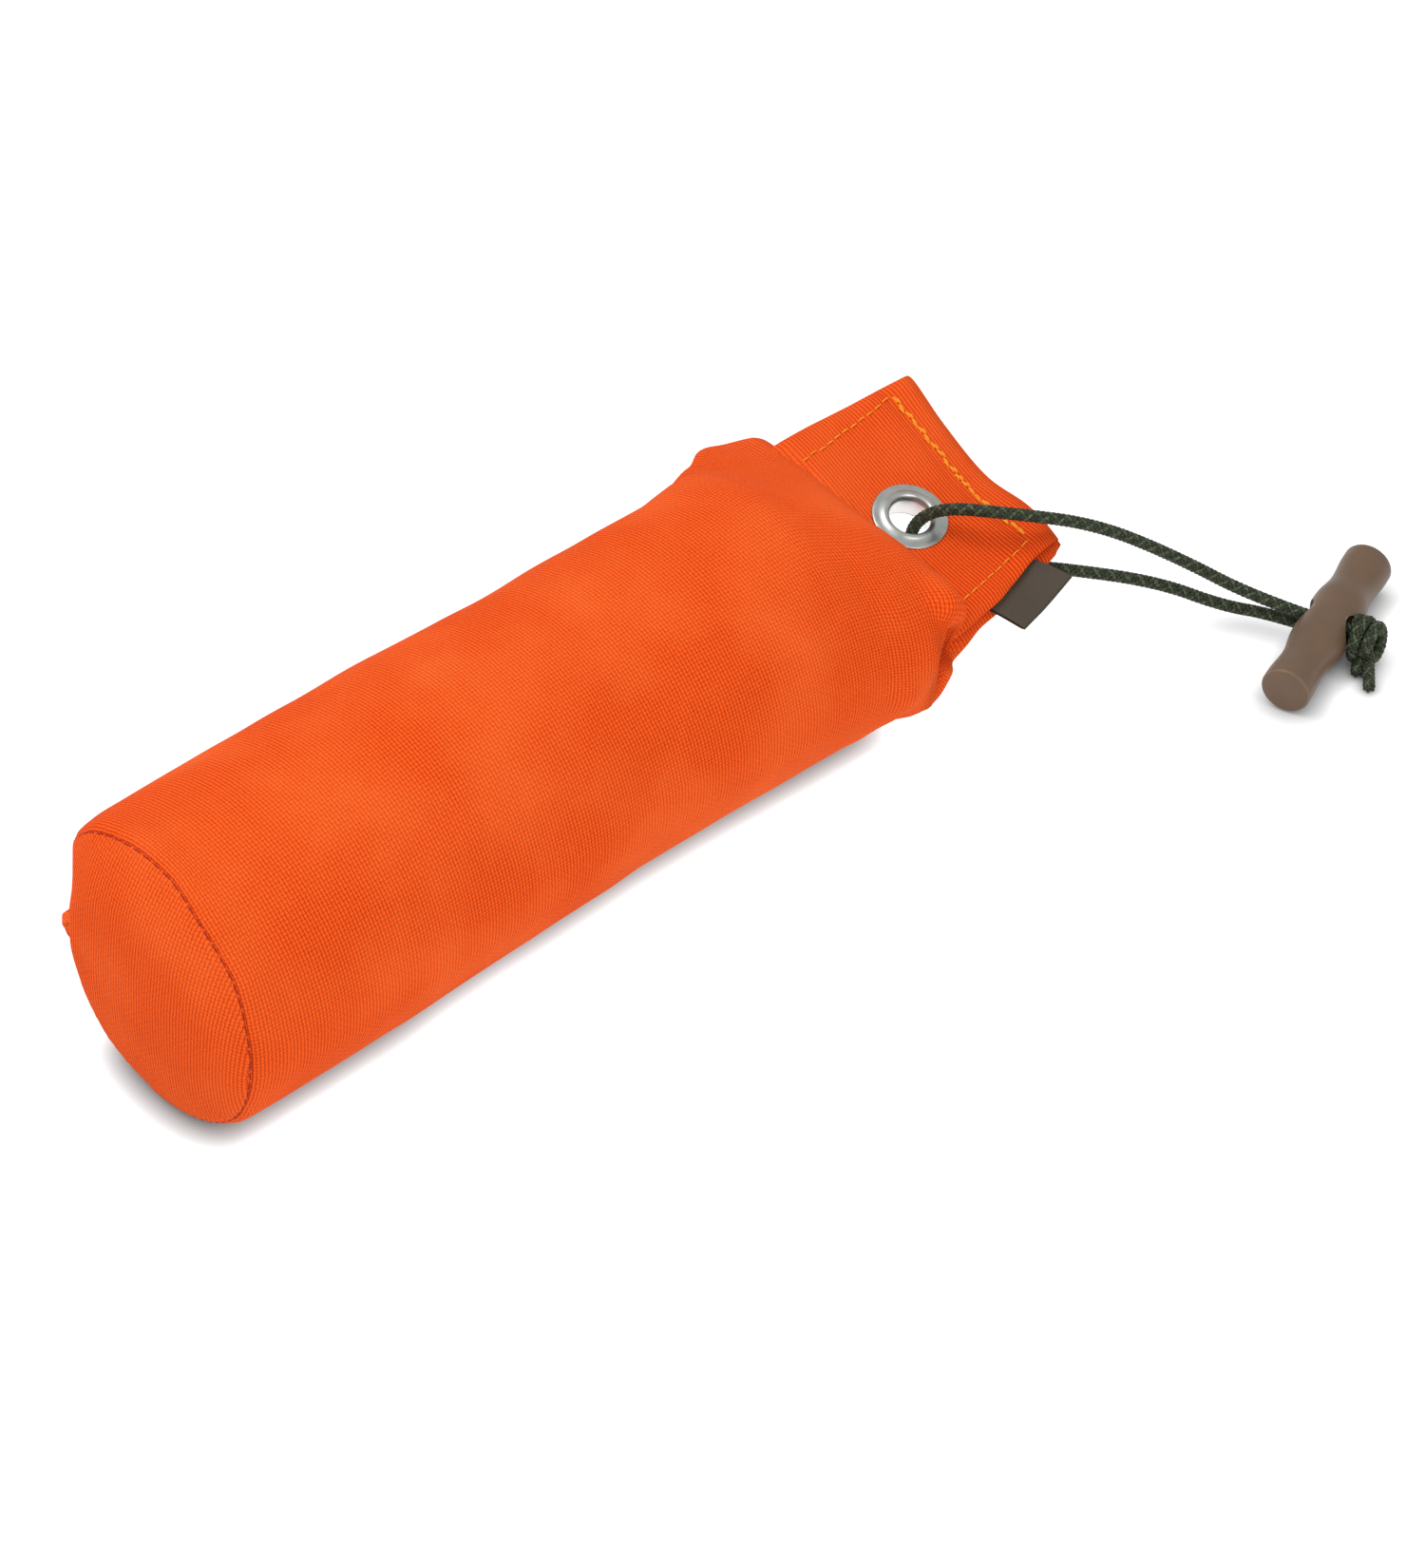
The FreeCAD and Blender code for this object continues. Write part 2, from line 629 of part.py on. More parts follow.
def make_toggle():
    """A round wooden bar with a thicker middle and a cross hole for both strands."""
    body = new_body("toggle")
    half, flat, shoulder = "dims.toggle_half", "dims.toggle_flat", "dims.toggle_shoulder"
    end, middle = "dims.toggle_end", "dims.toggle_middle"
    profile = [("-" + half, "0"), (half, "0"), (half, end), (shoulder, end), (flat, middle),
               ("-" + flat, middle), ("-" + shoulder, end), ("-" + half, end)]
    turned = revolve(body, outline(body, "toggle_profile", profile), "H_Axis")
    steps = {round(size("toggle_flat"), 3), round(size("toggle_shoulder"), 3)}
    tip = round(size("toggle_half"), 3)

    def at(edge, places):
        return edge.Closed and round(abs(edge.CenterOfMass.x), 3) in places

    eased = fillet(body, turned, size("toggle_ease"), lambda edge: at(edge, steps))
    fillet(body, eased, size("toggle_edge"), lambda edge: at(edge, {tip}))
    bore = circle(body, "toggle_bore", "dims.toggle_bore", plane="XZ_Plane")
    body.Tip = pocket(body, bore, "4 * dims.toggle_middle")
    place(body, Vector(0, 0, 1), "dims.toggle_turn", "dims.toggle_x", "dims.toggle_y",
          "dims.toggle_middle")


def make_knot():
    """The knot that ties the strands together, as a rounded block, and its two free tails."""
    body = new_body("cord_knot")
    width, height = "dims.knot_width / 2", "dims.knot_height / 2"
    cut = "dims.knot_height / 4"
    corners = [("-" + width, "-" + height + " + " + cut), ("-" + width + " + " + cut, "-" + height),
               (width + " - " + cut, "-" + height), (width, "-" + height + " + " + cut),
               (width, height + " - " + cut), (width + " - " + cut, height),
               ("-" + width + " + " + cut, height), ("-" + width, height + " - " + cut)]
    sketch = outline(body, "knot_outline", corners, plane="XZ_Plane", offset="dims.knot_start")
    block = pad(body, sketch, "dims.knot_depth")
    outer = size("knot_start") + size("knot_depth")
    fillet(body, block, size("knot_rounding"),
           lambda edge: abs(edge.CenterOfMass.y + outer) < 0.01)
    place(body, Vector(0, 0, 1), "dims.toggle_turn", "dims.toggle_x", "dims.toggle_y",
          "dims.toggle_middle - dims.knot_drop")

    tails = []
    heading = (bundle_direction() * 0.5 - direction(size("toggle_turn"))).normalize()
    side = toggle_centre() - direction(size("toggle_turn")) * (size("knot_width") / 2 - 1)
    # Each tail: its place along the strands, its height, and how steeply it falls.
    for along, height, fall in ((10.2, 5.4, -0.22), (8.6, 2.6, -0.1)):
        start = side + bundle_direction() * along
        start.z = height
        slant = Vector(heading.x, heading.y, fall).normalize()
        tails.append(Part.makeCylinder(size("cord_radius"), size("tail_length"), start, slant))
    add_shape("cord_tails", Part.makeCompound(tails))


# ---------------------------------------------------------------- build, check and write

make_body_panel()
make_base_disc()
make_fill()
make_side_seam()
make_base_stitches()
make_top_layer()
make_bottom_layer()
make_gusset("gusset_near", -1)
make_gusset("gusset_far", 1)
make_flap_stitches()
make_eyelet()
make_side_label()
make_throw_cord()
make_toggle()
make_knot()
doc.recompute()

for part in doc.Objects:
    if "Invalid" in part.State or "Error" in part.State:
        raise RuntimeError("%s did not recompute: %s" % (part.Label, part.State))

os.makedirs("parts", exist_ok=True)
for node in nodes:
    shape = node.Shape
    if shape.isNull() or not shape.isValid() or not shape.Solids:
        raise RuntimeError("%s has no valid solid" % node.Label)
    bounds = shape.BoundBox
    print("%-20s %3d solids %9.1f mm3  x %.1f..%.1f  y %.1f..%.1f  z %.2f..%.2f" % (
        node.Label, len(shape.Solids), shape.Volume, bounds.XMin, bounds.XMax,
        bounds.YMin, bounds.YMax, bounds.ZMin, bounds.ZMax))
    shape.exportStep(os.path.join("parts", node.Label + ".step"))
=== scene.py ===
"""Training bumper: the looks of the canvas, thread, eyelet, label, braided cord and toggle.
Lengths in this script are in millimetres and are turned into metres when a mesh is made."""

import json
import math

import bmesh
import bpy
import numpy as np
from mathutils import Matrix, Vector, noise
from mathutils.bvhtree import BVHTree


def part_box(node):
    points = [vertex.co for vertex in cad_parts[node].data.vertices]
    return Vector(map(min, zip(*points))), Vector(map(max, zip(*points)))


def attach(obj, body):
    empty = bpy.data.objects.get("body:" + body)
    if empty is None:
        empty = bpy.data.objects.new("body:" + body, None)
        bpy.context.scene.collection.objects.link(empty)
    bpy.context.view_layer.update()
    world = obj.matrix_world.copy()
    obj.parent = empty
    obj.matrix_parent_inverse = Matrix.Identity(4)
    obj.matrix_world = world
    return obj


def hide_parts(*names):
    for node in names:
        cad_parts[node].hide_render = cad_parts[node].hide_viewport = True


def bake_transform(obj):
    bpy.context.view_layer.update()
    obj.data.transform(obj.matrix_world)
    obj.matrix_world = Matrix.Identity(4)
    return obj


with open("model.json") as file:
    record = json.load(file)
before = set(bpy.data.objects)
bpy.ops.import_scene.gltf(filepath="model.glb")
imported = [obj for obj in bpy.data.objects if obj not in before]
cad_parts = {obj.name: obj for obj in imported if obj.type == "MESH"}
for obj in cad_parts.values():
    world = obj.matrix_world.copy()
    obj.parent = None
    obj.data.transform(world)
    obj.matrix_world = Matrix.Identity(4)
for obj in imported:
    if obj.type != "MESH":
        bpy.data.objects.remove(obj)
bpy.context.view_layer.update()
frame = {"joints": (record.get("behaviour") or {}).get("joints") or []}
scene = bpy.context.scene

MM = 0.001
joints = {joint["name"]: joint for joint in frame["joints"]}

# The flap's own frame, from the joints: the eyelet's centre, across the flap, and out of it.
EYELET = Vector(joints["cord_swing"]["pos_m"]) / MM
OUT = Vector(joints["cord_swing"]["axis"]).normalized()
ACROSS = Vector(joints["flap_fold"]["axis"]).normalized()
ALONG = Vector((1, 0, 0))

SEAM_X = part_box("body_panel")[0].x / MM
BODY_RADIUS = 30.0
SEAM_RADIUS = 28.4
AXIS_HEIGHT = 29.0
BASE_STITCHES = 68
STITCH_HEIGHT = 0.42


# ---- small helpers


def smooth(low, high, value):
    """0 below low, 1 above high, and an even curve between them."""
    share = min(max((value - low) / (high - low), 0.0), 1.0)
    return share * share * (3 - 2 * share)


def placed(name, data):
    """A new object in the scene."""
    thing = bpy.data.objects.new(name, data)
    scene.collection.objects.link(thing)
    return thing


def circle(count):
    """The angle, cosine and sine at each of count even places round a circle."""
    angles = [2 * math.pi * step / count for step in range(count)]
    return [(angle, math.cos(angle), math.sin(angle)) for angle in angles]


def mesh_piece(name, points, faces, materials, uvs=None, slots=None):
    """A smooth mesh object from points in millimetres. uvs holds one pair for each face corner."""
    mesh = bpy.data.meshes.new(name)
    mesh.from_pydata([tuple(c * MM for c in p) for p in points], [], faces)
    if uvs is not None:
        layer = mesh.uv_layers.new(name="UVMap")
        layer.data.foreach_set("uv", np.asarray(uvs, float).ravel())
    if slots is not None:
        mesh.polygons.foreach_set("material_index", slots)
    mesh.polygons.foreach_set("use_smooth", [True] * len(mesh.polygons))
    mesh.update()
    for material in materials:
        mesh.materials.append(material)
    return placed(name, mesh)


def grid_faces(rows, columns, closed):
    """Quads of a grid whose columns may close on themselves."""
    faces = []
    for row in range(rows - 1):
        for column in range(columns if closed else columns - 1):
            following = (column + 1) % columns
            faces.append((row * columns + column, row * columns + following,
                          (row + 1) * columns + following, (row + 1) * columns + column))
    return faces


def add_tube_faces(faces, first, rings, corners):
    """Append the faces of a tube, both ends closed, whose rings of points begin at first."""
    for face in grid_faces(rings, corners, True):
        faces.append(tuple(first + index for index in face))
    last = first + (rings - 1) * corners
    faces.append(tuple(first + corner for corner in range(corners))[::-1])
    faces.append(tuple(last + corner for corner in range(corners)))


def grid_uvs(row_places, column_places, faces, columns):
    """Pairs for grid_faces: the place along the rows, and along the columns. The last entry of
    column_places is where the columns close."""
    pairs = []
    for face in faces:
        wraps = face[0] % columns == columns - 1 and face[1] % columns == 0
        for corner, index in enumerate(face):
            row, column = divmod(index, columns)
            if wraps and corner in (1, 2):
                column = columns
            pairs.append((row_places[row], column_places[column]))
    return pairs


# ---- materials


class Shader:
    """A node material with short calls for the few kinds of node that it needs."""

    def __init__(self, name):
        self.material = bpy.data.materials.new(name)
        self.material.use_nodes = True
        self.tree = self.material.node_tree
        self.surface = self.tree.nodes["Principled BSDF"]

    def add(self, kind, **inputs):
        node = self.tree.nodes.new(kind)
        for key, value in inputs.items():
            self.feed(node, key, value)
        return node

    def feed(self, node, key, value):
        """Set or link an input, named by its label or, as _0, by its number."""
        socket = node.inputs[int(key[1:])] if key[0] == "_" else node.inputs[key.replace("_", " ")]
        if isinstance(value, bpy.types.NodeSocket):
            self.tree.links.new(value, socket)
        else:
            socket.default_value = value

    def math(self, operation, first, second=0.0):
        node = self.add("ShaderNodeMath", _0=first, _1=second)
        node.operation = operation
        return node.outputs[0]

    def plus(self, first, second):
        return self.math("ADD", first, second)

    def times(self, first, second):
        return self.math("MULTIPLY", first, second)

    def ridges(self, place, pitch=1.0):
        """0 at whole pitches and 1 half-way between them."""
        return self.math("ABSOLUTE", self.math("SINE", self.times(place, math.pi / pitch)))

    def mix(self, factor, first, second):
        node = self.tree.nodes.new("ShaderNodeMix")
        node.data_type = "RGBA"
        for key, value in (("_0", factor), ("_6", first), ("_7", second)):
            self.feed(node, key, value)
        return node.outputs[2]

    def noise(self, scale, detail, vector):
        node = self.add("ShaderNodeTexNoise", Scale=scale, Detail=detail, Vector=vector)
        return node.outputs["Fac"]

    def place(self):
        """Coordinates in metres that follow the mesh."""
        return self.add("ShaderNodeTexCoord").outputs["Object"]

    def bump(self, height, distance, strength):
        node = self.add("ShaderNodeBump", Height=height, Distance=distance, Strength=strength)
        return node.outputs["Normal"]

    def finish(self, **inputs):
        for key, value in inputs.items():
            self.feed(self.surface, key, value)
        return self.material


def canvas_material(name, painted_shade, mean, light):
    """Plain-woven canvas from a UV map in millimetres: ribs round the tube, warp along it. Painted
    shade darkens the weave's hollows.
    On the flap only the ribs show, and painted shade makes the colour a little darker there, to
    hold back the key lamp's light."""
    rib_pitch, warp_pitch = 0.74, 0.78
    flap_start, flap_full = 0.086, 0.090
    shader = Shader(name)
    uv = shader.add("ShaderNodeUVMap").outputs["UV"]
    parts = shader.add("ShaderNodeSeparateXYZ", _0=uv)
    wander = shader.times(shader.noise(140, 2, shader.place()), 0.5)
    along = shader.plus(shader.times(parts.outputs[0], 1 / rib_pitch), wander)
    around = shader.plus(shader.times(parts.outputs[1], 1 / warp_pitch), wander)
    rib = shader.ridges(along)
    warp = shader.ridges(around)
    cell = shader.plus(shader.math("FLOOR", along), shader.math("FLOOR", around))
    over = shader.math("PINGPONG", cell, 1.0)
    woven = shader.plus(shader.times(over, rib),
                        shader.times(shader.math("SUBTRACT", 1.0, over), warp))
    relief = shader.plus(shader.times(rib, 0.4), shader.times(woven, 0.6))
    place = shader.add("ShaderNodeSeparateXYZ", _0=shader.place())
    ribbed = shader.add("ShaderNodeMapRange", Value=place.outputs[0], From_Min=flap_start,
                        From_Max=flap_full).outputs[0]
    relief = shader.plus(shader.times(relief, shader.math("SUBTRACT", 1.0, ribbed)),
                         shader.times(rib, ribbed))
    fuzz = shader.noise(2600, 3, shader.place())
    cloudy = shader.noise(38, 3, shader.place())
    # Painted shade: where the relief is low, in the weave's hollows, the colour goes to the shade
    # colour; the fuzz adds random tone.
    tone = shader.plus(shader.times(relief, 0.95),
                       shader.times(shader.math("SUBTRACT", fuzz, 0.5), 0.8))
    colour = shader.mix(tone, painted_shade, mean)
    patches = shader.times(shader.math("SUBTRACT", cloudy, 0.42), 1.6)
    colour = shader.mix(shader.math("MAXIMUM", patches, 0.0), colour, light)
    # Painted shade: the flap is pulled a little towards the shade colour, to hold back the key
    # lamp's light on it.
    colour = shader.mix(shader.times(ribbed, 0.16), colour, painted_shade)
    height = shader.plus(relief, shader.times(fuzz, 0.25))
    normal = shader.bump(height, 0.00026, 0.9)
    return shader.finish(Base_Color=colour, Roughness=0.9, Normal=normal, Sheen_Weight=0.10,
                         Sheen_Roughness=0.5, Sheen_Tint=(1.0, 0.3, 0.08, 1),
                         Specular_IOR_Level=0.05)


def thread_material(name, dark, light):
    """Twisted sewing thread."""
    shader = Shader(name)
    speck = shader.noise(1800, 2, shader.place())
    colour = shader.mix(speck, dark, light)
    return shader.finish(Base_Color=colour, Roughness=0.65, Specular_IOR_Level=0.2,
                         Normal=shader.bump(speck, 0.00008, 0.6))


def metal_material(name, dull, bright):
    """Pressed eyelet metal, softly worn."""
    shader = Shader(name)
    place = shader.place()
    wear = shader.noise(420, 3, place)
    scratch = shader.noise(2600, 2, place)
    colour = shader.mix(wear, dull, bright)
    rough = shader.plus(0.26, shader.times(wear, 0.2))
    return shader.finish(Base_Color=colour, Metallic=1.0, Roughness=rough,
                         Normal=shader.bump(scratch, 0.00001, 0.3))


def braid_material(name, dark, light):
    """Filament bundles of the braided cord."""
    shader = Shader(name)
    speck = shader.noise(2200, 3, shader.place())
    sharp = shader.math("POWER", speck, 3.0)
    colour = shader.mix(shader.times(sharp, 3.2), dark, light)
    return shader.finish(Base_Color=colour, Roughness=0.6, Specular_IOR_Level=0.22,
                         Normal=shader.bump(speck, 0.00008, 0.8))


def toggle_material():
    """Matt brown, with fine pores, and paler on the sharp rim round each end."""
    shader = Shader("toggle_brown")
    place = shader.place()
    grain = shader.noise(900, 4, place)
    cloud = shader.noise(110, 3, place)
    colour = shader.mix(cloud, (0.080, 0.054, 0.033, 1), (0.155, 0.086, 0.050, 1))
    colour = shader.mix(shader.times(grain, 0.2), colour, (0.17, 0.12, 0.08, 1))
    geometry = shader.add("ShaderNodeNewGeometry")
    edge = shader.times(shader.math("SUBTRACT", geometry.outputs["Pointiness"], 0.53), 9.0)
    colour = shader.mix(shader.math("MINIMUM", shader.math("MAXIMUM", edge, 0.0), 0.6), colour,
                        (0.30, 0.23, 0.16, 1))
    return shader.finish(Base_Color=colour, Roughness=0.42, Specular_IOR_Level=0.3,
                         Normal=shader.bump(grain, 0.00003, 0.4))


def ribbon_material():
    """Dark woven ribbon with fine cross ribs, with painted shade in the hollows between the ribs.
    """
    shader = Shader("label_ribbon")
    uv = shader.add("ShaderNodeUVMap").outputs["UV"]
    parts = shader.add("ShaderNodeSeparateXYZ", _0=uv)
    rib = shader.ridges(parts.outputs[1], 0.34)
    warp = shader.ridges(parts.outputs[0], 0.28)
    woven = shader.plus(shader.times(rib, 0.7), shader.times(warp, 0.3))
    # Painted shade: the hollows between the ribs take the darker colour.
    colour = shader.mix(woven, (0.018, 0.014, 0.010, 1), (0.085, 0.064, 0.046, 1))
    return shader.finish(Base_Color=colour, Roughness=0.7, Specular_IOR_Level=0.3,
                         Normal=shader.bump(woven, 0.00008, 0.7))


# The first colour is painted shade, for the weave's hollows and the flap; then the mean colour, and
# the paler random patches.
CANVAS_COLOURS = ((0.52, 0.030, 0.004, 1), (0.90, 0.106, 0.012, 1), (0.93, 0.150, 0.030, 1))
canvas = canvas_material("canvas", *CANVAS_COLOURS)
dark_thread = thread_material("dark_thread", (0.16, 0.008, 0.002, 1), (0.34, 0.026, 0.006, 1))
orange_thread = thread_material("orange_thread", (0.62, 0.12, 0.004, 1), (0.95, 0.36, 0.02, 1))
eyelet_metal = metal_material("eyelet_metal", (0.30, 0.32, 0.30, 1), (0.54, 0.56, 0.53, 1))
# Painted reflection: the eyelet's barrel gets a far paler metal than the flange, so the inside of
# the hole looks lit.
lit_barrel_metal = metal_material("eyelet_barrel_painted_light", (0.80, 0.81, 0.80, 1), (0.92, 0.92, 0.92, 1))
braid_dark = braid_material("braid_dark", (0.006, 0.007, 0.004, 1), (0.055, 0.062, 0.035, 1))
braid_green = braid_material("braid_green", (0.012, 0.022, 0.011, 1), (0.11, 0.15, 0.08, 1))
toggle_brown = toggle_material()
label_ribbon = ribbon_material()


# ---- the canvas, from base to flap

# Each section is 13 points a side, from the middle of the top to the middle of the bottom:
# top middle, top quarter, the ear's fold (inside, crest, underside), upper gusset, gusset fold,
# lower gusset, the low fold (upper side, crest, underside), bottom quarter, bottom middle.
ROUND_ANGLES = (90, 121, 146, 150, 154, 165, 178, 194, 213, 219, 225, 247, 270)
NECK_ANGLES = (90, 130, 149, 153, 157, 165, 176, 189, 205, 212, 218, 238, 270)
STEPS = (16, 14, 4, 4, 8, 8, 8, 8, 4, 4, 14, 16)


def tube_section(x, half_width, half_height, centre, power=2.0, neck=0.0, shift=0.0, near=None,
                 far=None):
    """A section of the filled tube. neck moves the folds from the round to the boxy places, and
    shift moves it across. near and far hold the points that are set one by one."""
    half = []
    for start, end in zip(ROUND_ANGLES, NECK_ANGLES):
        angle = math.radians(start + (end - start) * neck)
        y, z = math.cos(angle), math.sin(angle)
        reach = (abs(y / half_width) ** power + abs(z / half_height) ** power) ** (-1 / power)
        half.append((y * reach, max(centre + z * reach, 0.02)))
    left = [Vector((x, shift + y, z)) for y, z in half]
    right = [Vector((x, shift - y, z)) for y, z in half]
    for side, points in ((left, near), (right, far)):
        for index, (y, z) in (points or {}).items():
            side[index] = Vector((x, y, z))
    return left, right


def flap_bend(x, y):
    """How far the flap stands off its plane: its end sags in the middle and curls up at both
    corners, and the part under the eyelet is flat."""
    rise = smooth(6.5, 21, x)
    near = 4.6 * smooth(5, 21, -y)
    far = 1.9 * smooth(8, 24, y)
    sag = 2.4 * math.exp(-((y + 1) / 8) ** 2)
    edge = 0.9 * smooth(-14, 4, x) * smooth(15, 24, -y)
    rim = 1.4 * smooth(8, 17, math.hypot(x, y))
    return rise * (near + far - sag) + edge + rim


def on_flap(x, y, z):
    """A point of the flap: along it, across it, and above its bent middle plane."""
    return EYELET + ALONG * x + ACROSS * y + OUT * (z + flap_bend(x, y))


def edge_width(x, side):
    """Half width of the flap towards the near (-1) or far (1) side."""
    if side < 0:
        return 26.2 - 1.4 * smooth(-14, 0, x) - 3.5 * smooth(-2, 14, x)
    return 26.6 - 1.9 * (x + 14) / 35 + 0.6 * smooth(-14, -6, x) * (1 - smooth(8, 20, x))


def end_place(x, y):
    """Places near the flap's end, drawn back at its near corner and in its far half."""
    back = 2.6 * smooth(11, 20.5, -y) + 0.8 * smooth(2, 12, y) * (1 - smooth(18, 25, y))
    return x - back * smooth(13, 21, x)


def flap_section(x, top=2.0, bottom=-2.0, gap=0.12, mouth=0.45, shut=0.0):
    """A section of the flap: two faces, with a gusset folded in from each side. shut closes the
    gussets, from 0 to 1."""
    sides = []
    for side in (-1, 1):
        upper = edge_width(x, side)
        lower = upper
        if side < 0:
            lower += (0.9 + 0.9 * smooth(8, 16, x)) * (1 - 0.5 * shut)
            lower += 1.5 * (1 - smooth(-13, -5, x))
        fold = 5.6 + (upper - 7.2) * shut
        half = fold + (upper - fold) * 0.55
        opening = mouth * (1 - shut)
        profile = [(0, top), (upper * 0.52, top), (upper - 1.3, top - 0.02),
                   (upper, (top + opening) / 2), (upper - 1.2, opening), (half, gap), (fold, 0),
                   (half, -gap), (lower - 1.2, -opening), (lower, (bottom - opening) / 2),
                   (lower - 1.3, bottom + 0.02), (upper * 0.52, bottom), (0, bottom)]
        sides.append([on_flap(end_place(x, side * y), side * y, z) for y, z in profile])
    return sides


def explicit_section(near, far):
    """A section given point by point; far lists only what differs from the mirrored near side."""
    left = [Vector(p) for p in near]
    right = [Vector((p.x, -p.y, p.z)) for p in left]
    for index, point in far.items():
        right[index] = Vector(point)
    return left, right


# The end of the tube bulges, turns in behind the flap, and its sides fold in as gussets.
BULGE = explicit_section(
    [(84.5, 0, 40.2), (84.2, -16, 40.3), (82.6, -28.9, 39.2), (81.4, -30.6, 37.2),
     (79.8, -30.3, 35), (79, -30.1, 31), (78.8, -29.4, 26.5), (78.8, -28.6, 19.5),
     (79, -27.6, 13.5), (79.2, -26, 11.2), (79.6, -23.5, 8.8), (82, -12, 6), (83, 0, 5.5)],
    {1: (84.9, 16, 40.6), 2: (85.6, 29.4, 39.6), 3: (85.4, 31.4, 37.8), 4: (83.6, 31.4, 35.2),
     5: (81.5, 31, 30)})
TURN = explicit_section(
    [(86.5, 0, 37.8), (86.2, -16, 37.4), (85.4, -28.2, 36.0), (84.4, -30.2, 34.4),
     (82.4, -29.2, 32.4), (81.4, -26.0, 30), (81.6, -22.5, 24.5), (81.2, -22.8, 18.5),
     (80.9, -25.8, 14.8), (81.8, -26.4, 13), (83.5, -23.5, 10.8), (85.6, -12, 9.8),
     (86, 0, 9.5)],
    {1: (86.9, 16, 38.6), 2: (87, 29, 38.8), 3: (86.6, 31, 37.4), 4: (85, 30.6, 34.5),
     5: (83, 29, 30), 6: (82.5, 27.5, 25)})
INNER = explicit_section(
    [(86.3, 0, 33.6), (86.0, -15, 31.4), (85.4, -26.4, 30.0), (84.8, -28.2, 29.2),
     (83.6, -25.8, 28.0), (82.8, -19, 26.6), (82.6, -12.5, 24.8), (82.8, -18, 21.6),
     (83.2, -25.2, 19.4), (84.2, -26.9, 18.4), (86.3, -25.0, 16.2), (87.6, -13, 16.3),
     (87.6, 0, 18.3)],
    {1: (86.4, 15, 36.2), 2: (86.2, 26.5, 38.8), 3: (85.8, 28.6, 38.6), 4: (85.6, 27.5, 37),
     5: (85.5, 23, 34.5), 6: (85.2, 17, 31.5), 7: (85.2, 21, 28.5), 8: (84.5, 26, 24.5),
     9: (84.8, 28, 22.5), 10: (86.3, 25, 20), 11: (87.6, 13, 19.5)})


# Place along X, radius, height of the centre, shift across, and how far the neck has formed.
ROUND_PART = [(-50, 29.95, 29, 0.1, 0), (-24, 29.55, 29.4, 0.35, 0), (0, 29.2, 29.1, 0.2, 0),
              (12, 28.75, 28.8, 0.46, 0), (24, 28.8, 28.8, 0.35, 0), (36, 28.85, 28.8, 0.06, 0.1),
              (48, 28.93, 28.7, -0.17, 0.3)]


def canvas_sections():
    """Sections from the base seam, where the edge turns in, to the flap's closed end."""
    near_seam = [(1.6, -2.0), (0.3, -1.1), (-0.1, -0.1), (0.5, 0.75), (1.8, 1.2), (4, 1.4)]
    sections = [tube_section(SEAM_X + along, SEAM_RADIUS + out, SEAM_RADIUS + out, AXIS_HEIGHT)
                for along, out in near_seam]
    sections.append(tube_section(SEAM_X + 11, BODY_RADIUS, BODY_RADIUS, AXIS_HEIGHT))
    for x, radius, centre, shift, neck in ROUND_PART:
        sections.append(tube_section(x, radius, radius, centre, neck=neck, shift=shift))
    sections.append(tube_section(60, 29.6, 28.6, 27.8, 2.05, 0.55, 1.2))
    sections.append(tube_section(66, 29.4, 26.9, 26.7, 2.12, 0.75, 0.9,
                                 far={2: (25.8, 45.4), 3: (27.2, 44.0)}))
    sections.append(tube_section(
        72, 30.2, 25.4, 25.0, 2.4, 0.9,
        near={8: (-24.8, 12), 9: (-22.9, 10.3), 10: (-21.4, 8.8), 11: (-12.5, 2)},
        far={2: (28.8, 44.6), 3: (30.6, 42.3)}))
    sections.append(tube_section(
        77, 30.4, 23.4, 24.2, 2.7, 1.0,
        near={7: (-28.9, 20), 8: (-27, 13), 9: (-25.2, 10.8), 10: (-23.2, 8.6), 11: (-12, 4.5)},
        far={2: (30, 42.2), 3: (31.6, 39.6)}))
    sections += [BULGE, TURN, INNER]
    crease = flap_section(-13.6, top=2.1, bottom=-2.1, mouth=0.7)
    for side in crease:
        side[6] += ALONG * 5
        side[5] += ALONG * 2.4
        side[7] += ALONG * 2.4
    sections.append(crease)
    for x in (-9, -4, 1, 6, 12.6):
        sections.append(flap_section(x))
    for x in (13.0, 16):
        sections.append(flap_section(x, bottom=-3.0))
    sections.append(flap_section(19.2, bottom=-3.0, mouth=0.3, shut=0.3))
    sections.append(flap_section(20.3, top=1.8, bottom=-2.7, shut=0.8))
    sections.append(flap_section(20.9, top=1.1, bottom=-1.9, gap=0.0, shut=1.0))
    sections.append(flap_section(21.0, top=-0.2, bottom=-0.6, gap=0.0, mouth=0.0, shut=1.0))
    return sections


def between(first, second, start, stop, t):
    """The place at t on the straight line from first, at start, to second, at stop."""
    return first * ((stop - t) / (stop - start)) + second * ((t - start) / (stop - start))


def section_outline(near, far):
    """A closed smooth outline through the points of both sides, with set steps on each stretch."""
    points = near + far[-2:0:-1]
    steps = STEPS + STEPS[::-1]
    count = len(points)
    outline = []
    for index in range(count):
        p0, p1, p2, p3 = (points[(index + k) % count] for k in (-1, 0, 1, 2))
        t1 = max((p1 - p0).length, 0.05) ** 0.5
        t2 = t1 + max((p2 - p1).length, 0.05) ** 0.5
        t3 = t2 + max((p3 - p2).length, 0.05) ** 0.5
        for step in range(steps[index]):
            t = t1 + (t2 - t1) * step / steps[index]
            a1 = between(p0, p1, 0, t1, t)
            a2 = between(p1, p2, t1, t2, t)
            a3 = between(p2, p3, t2, t3, t)
            b1 = between(a1, a2, 0, t2, t)
            b2 = between(a2, a3, t1, t3, t)
            outline.append(between(b1, b2, t1, t2, t))
    return np.array([tuple(p) for p in outline])


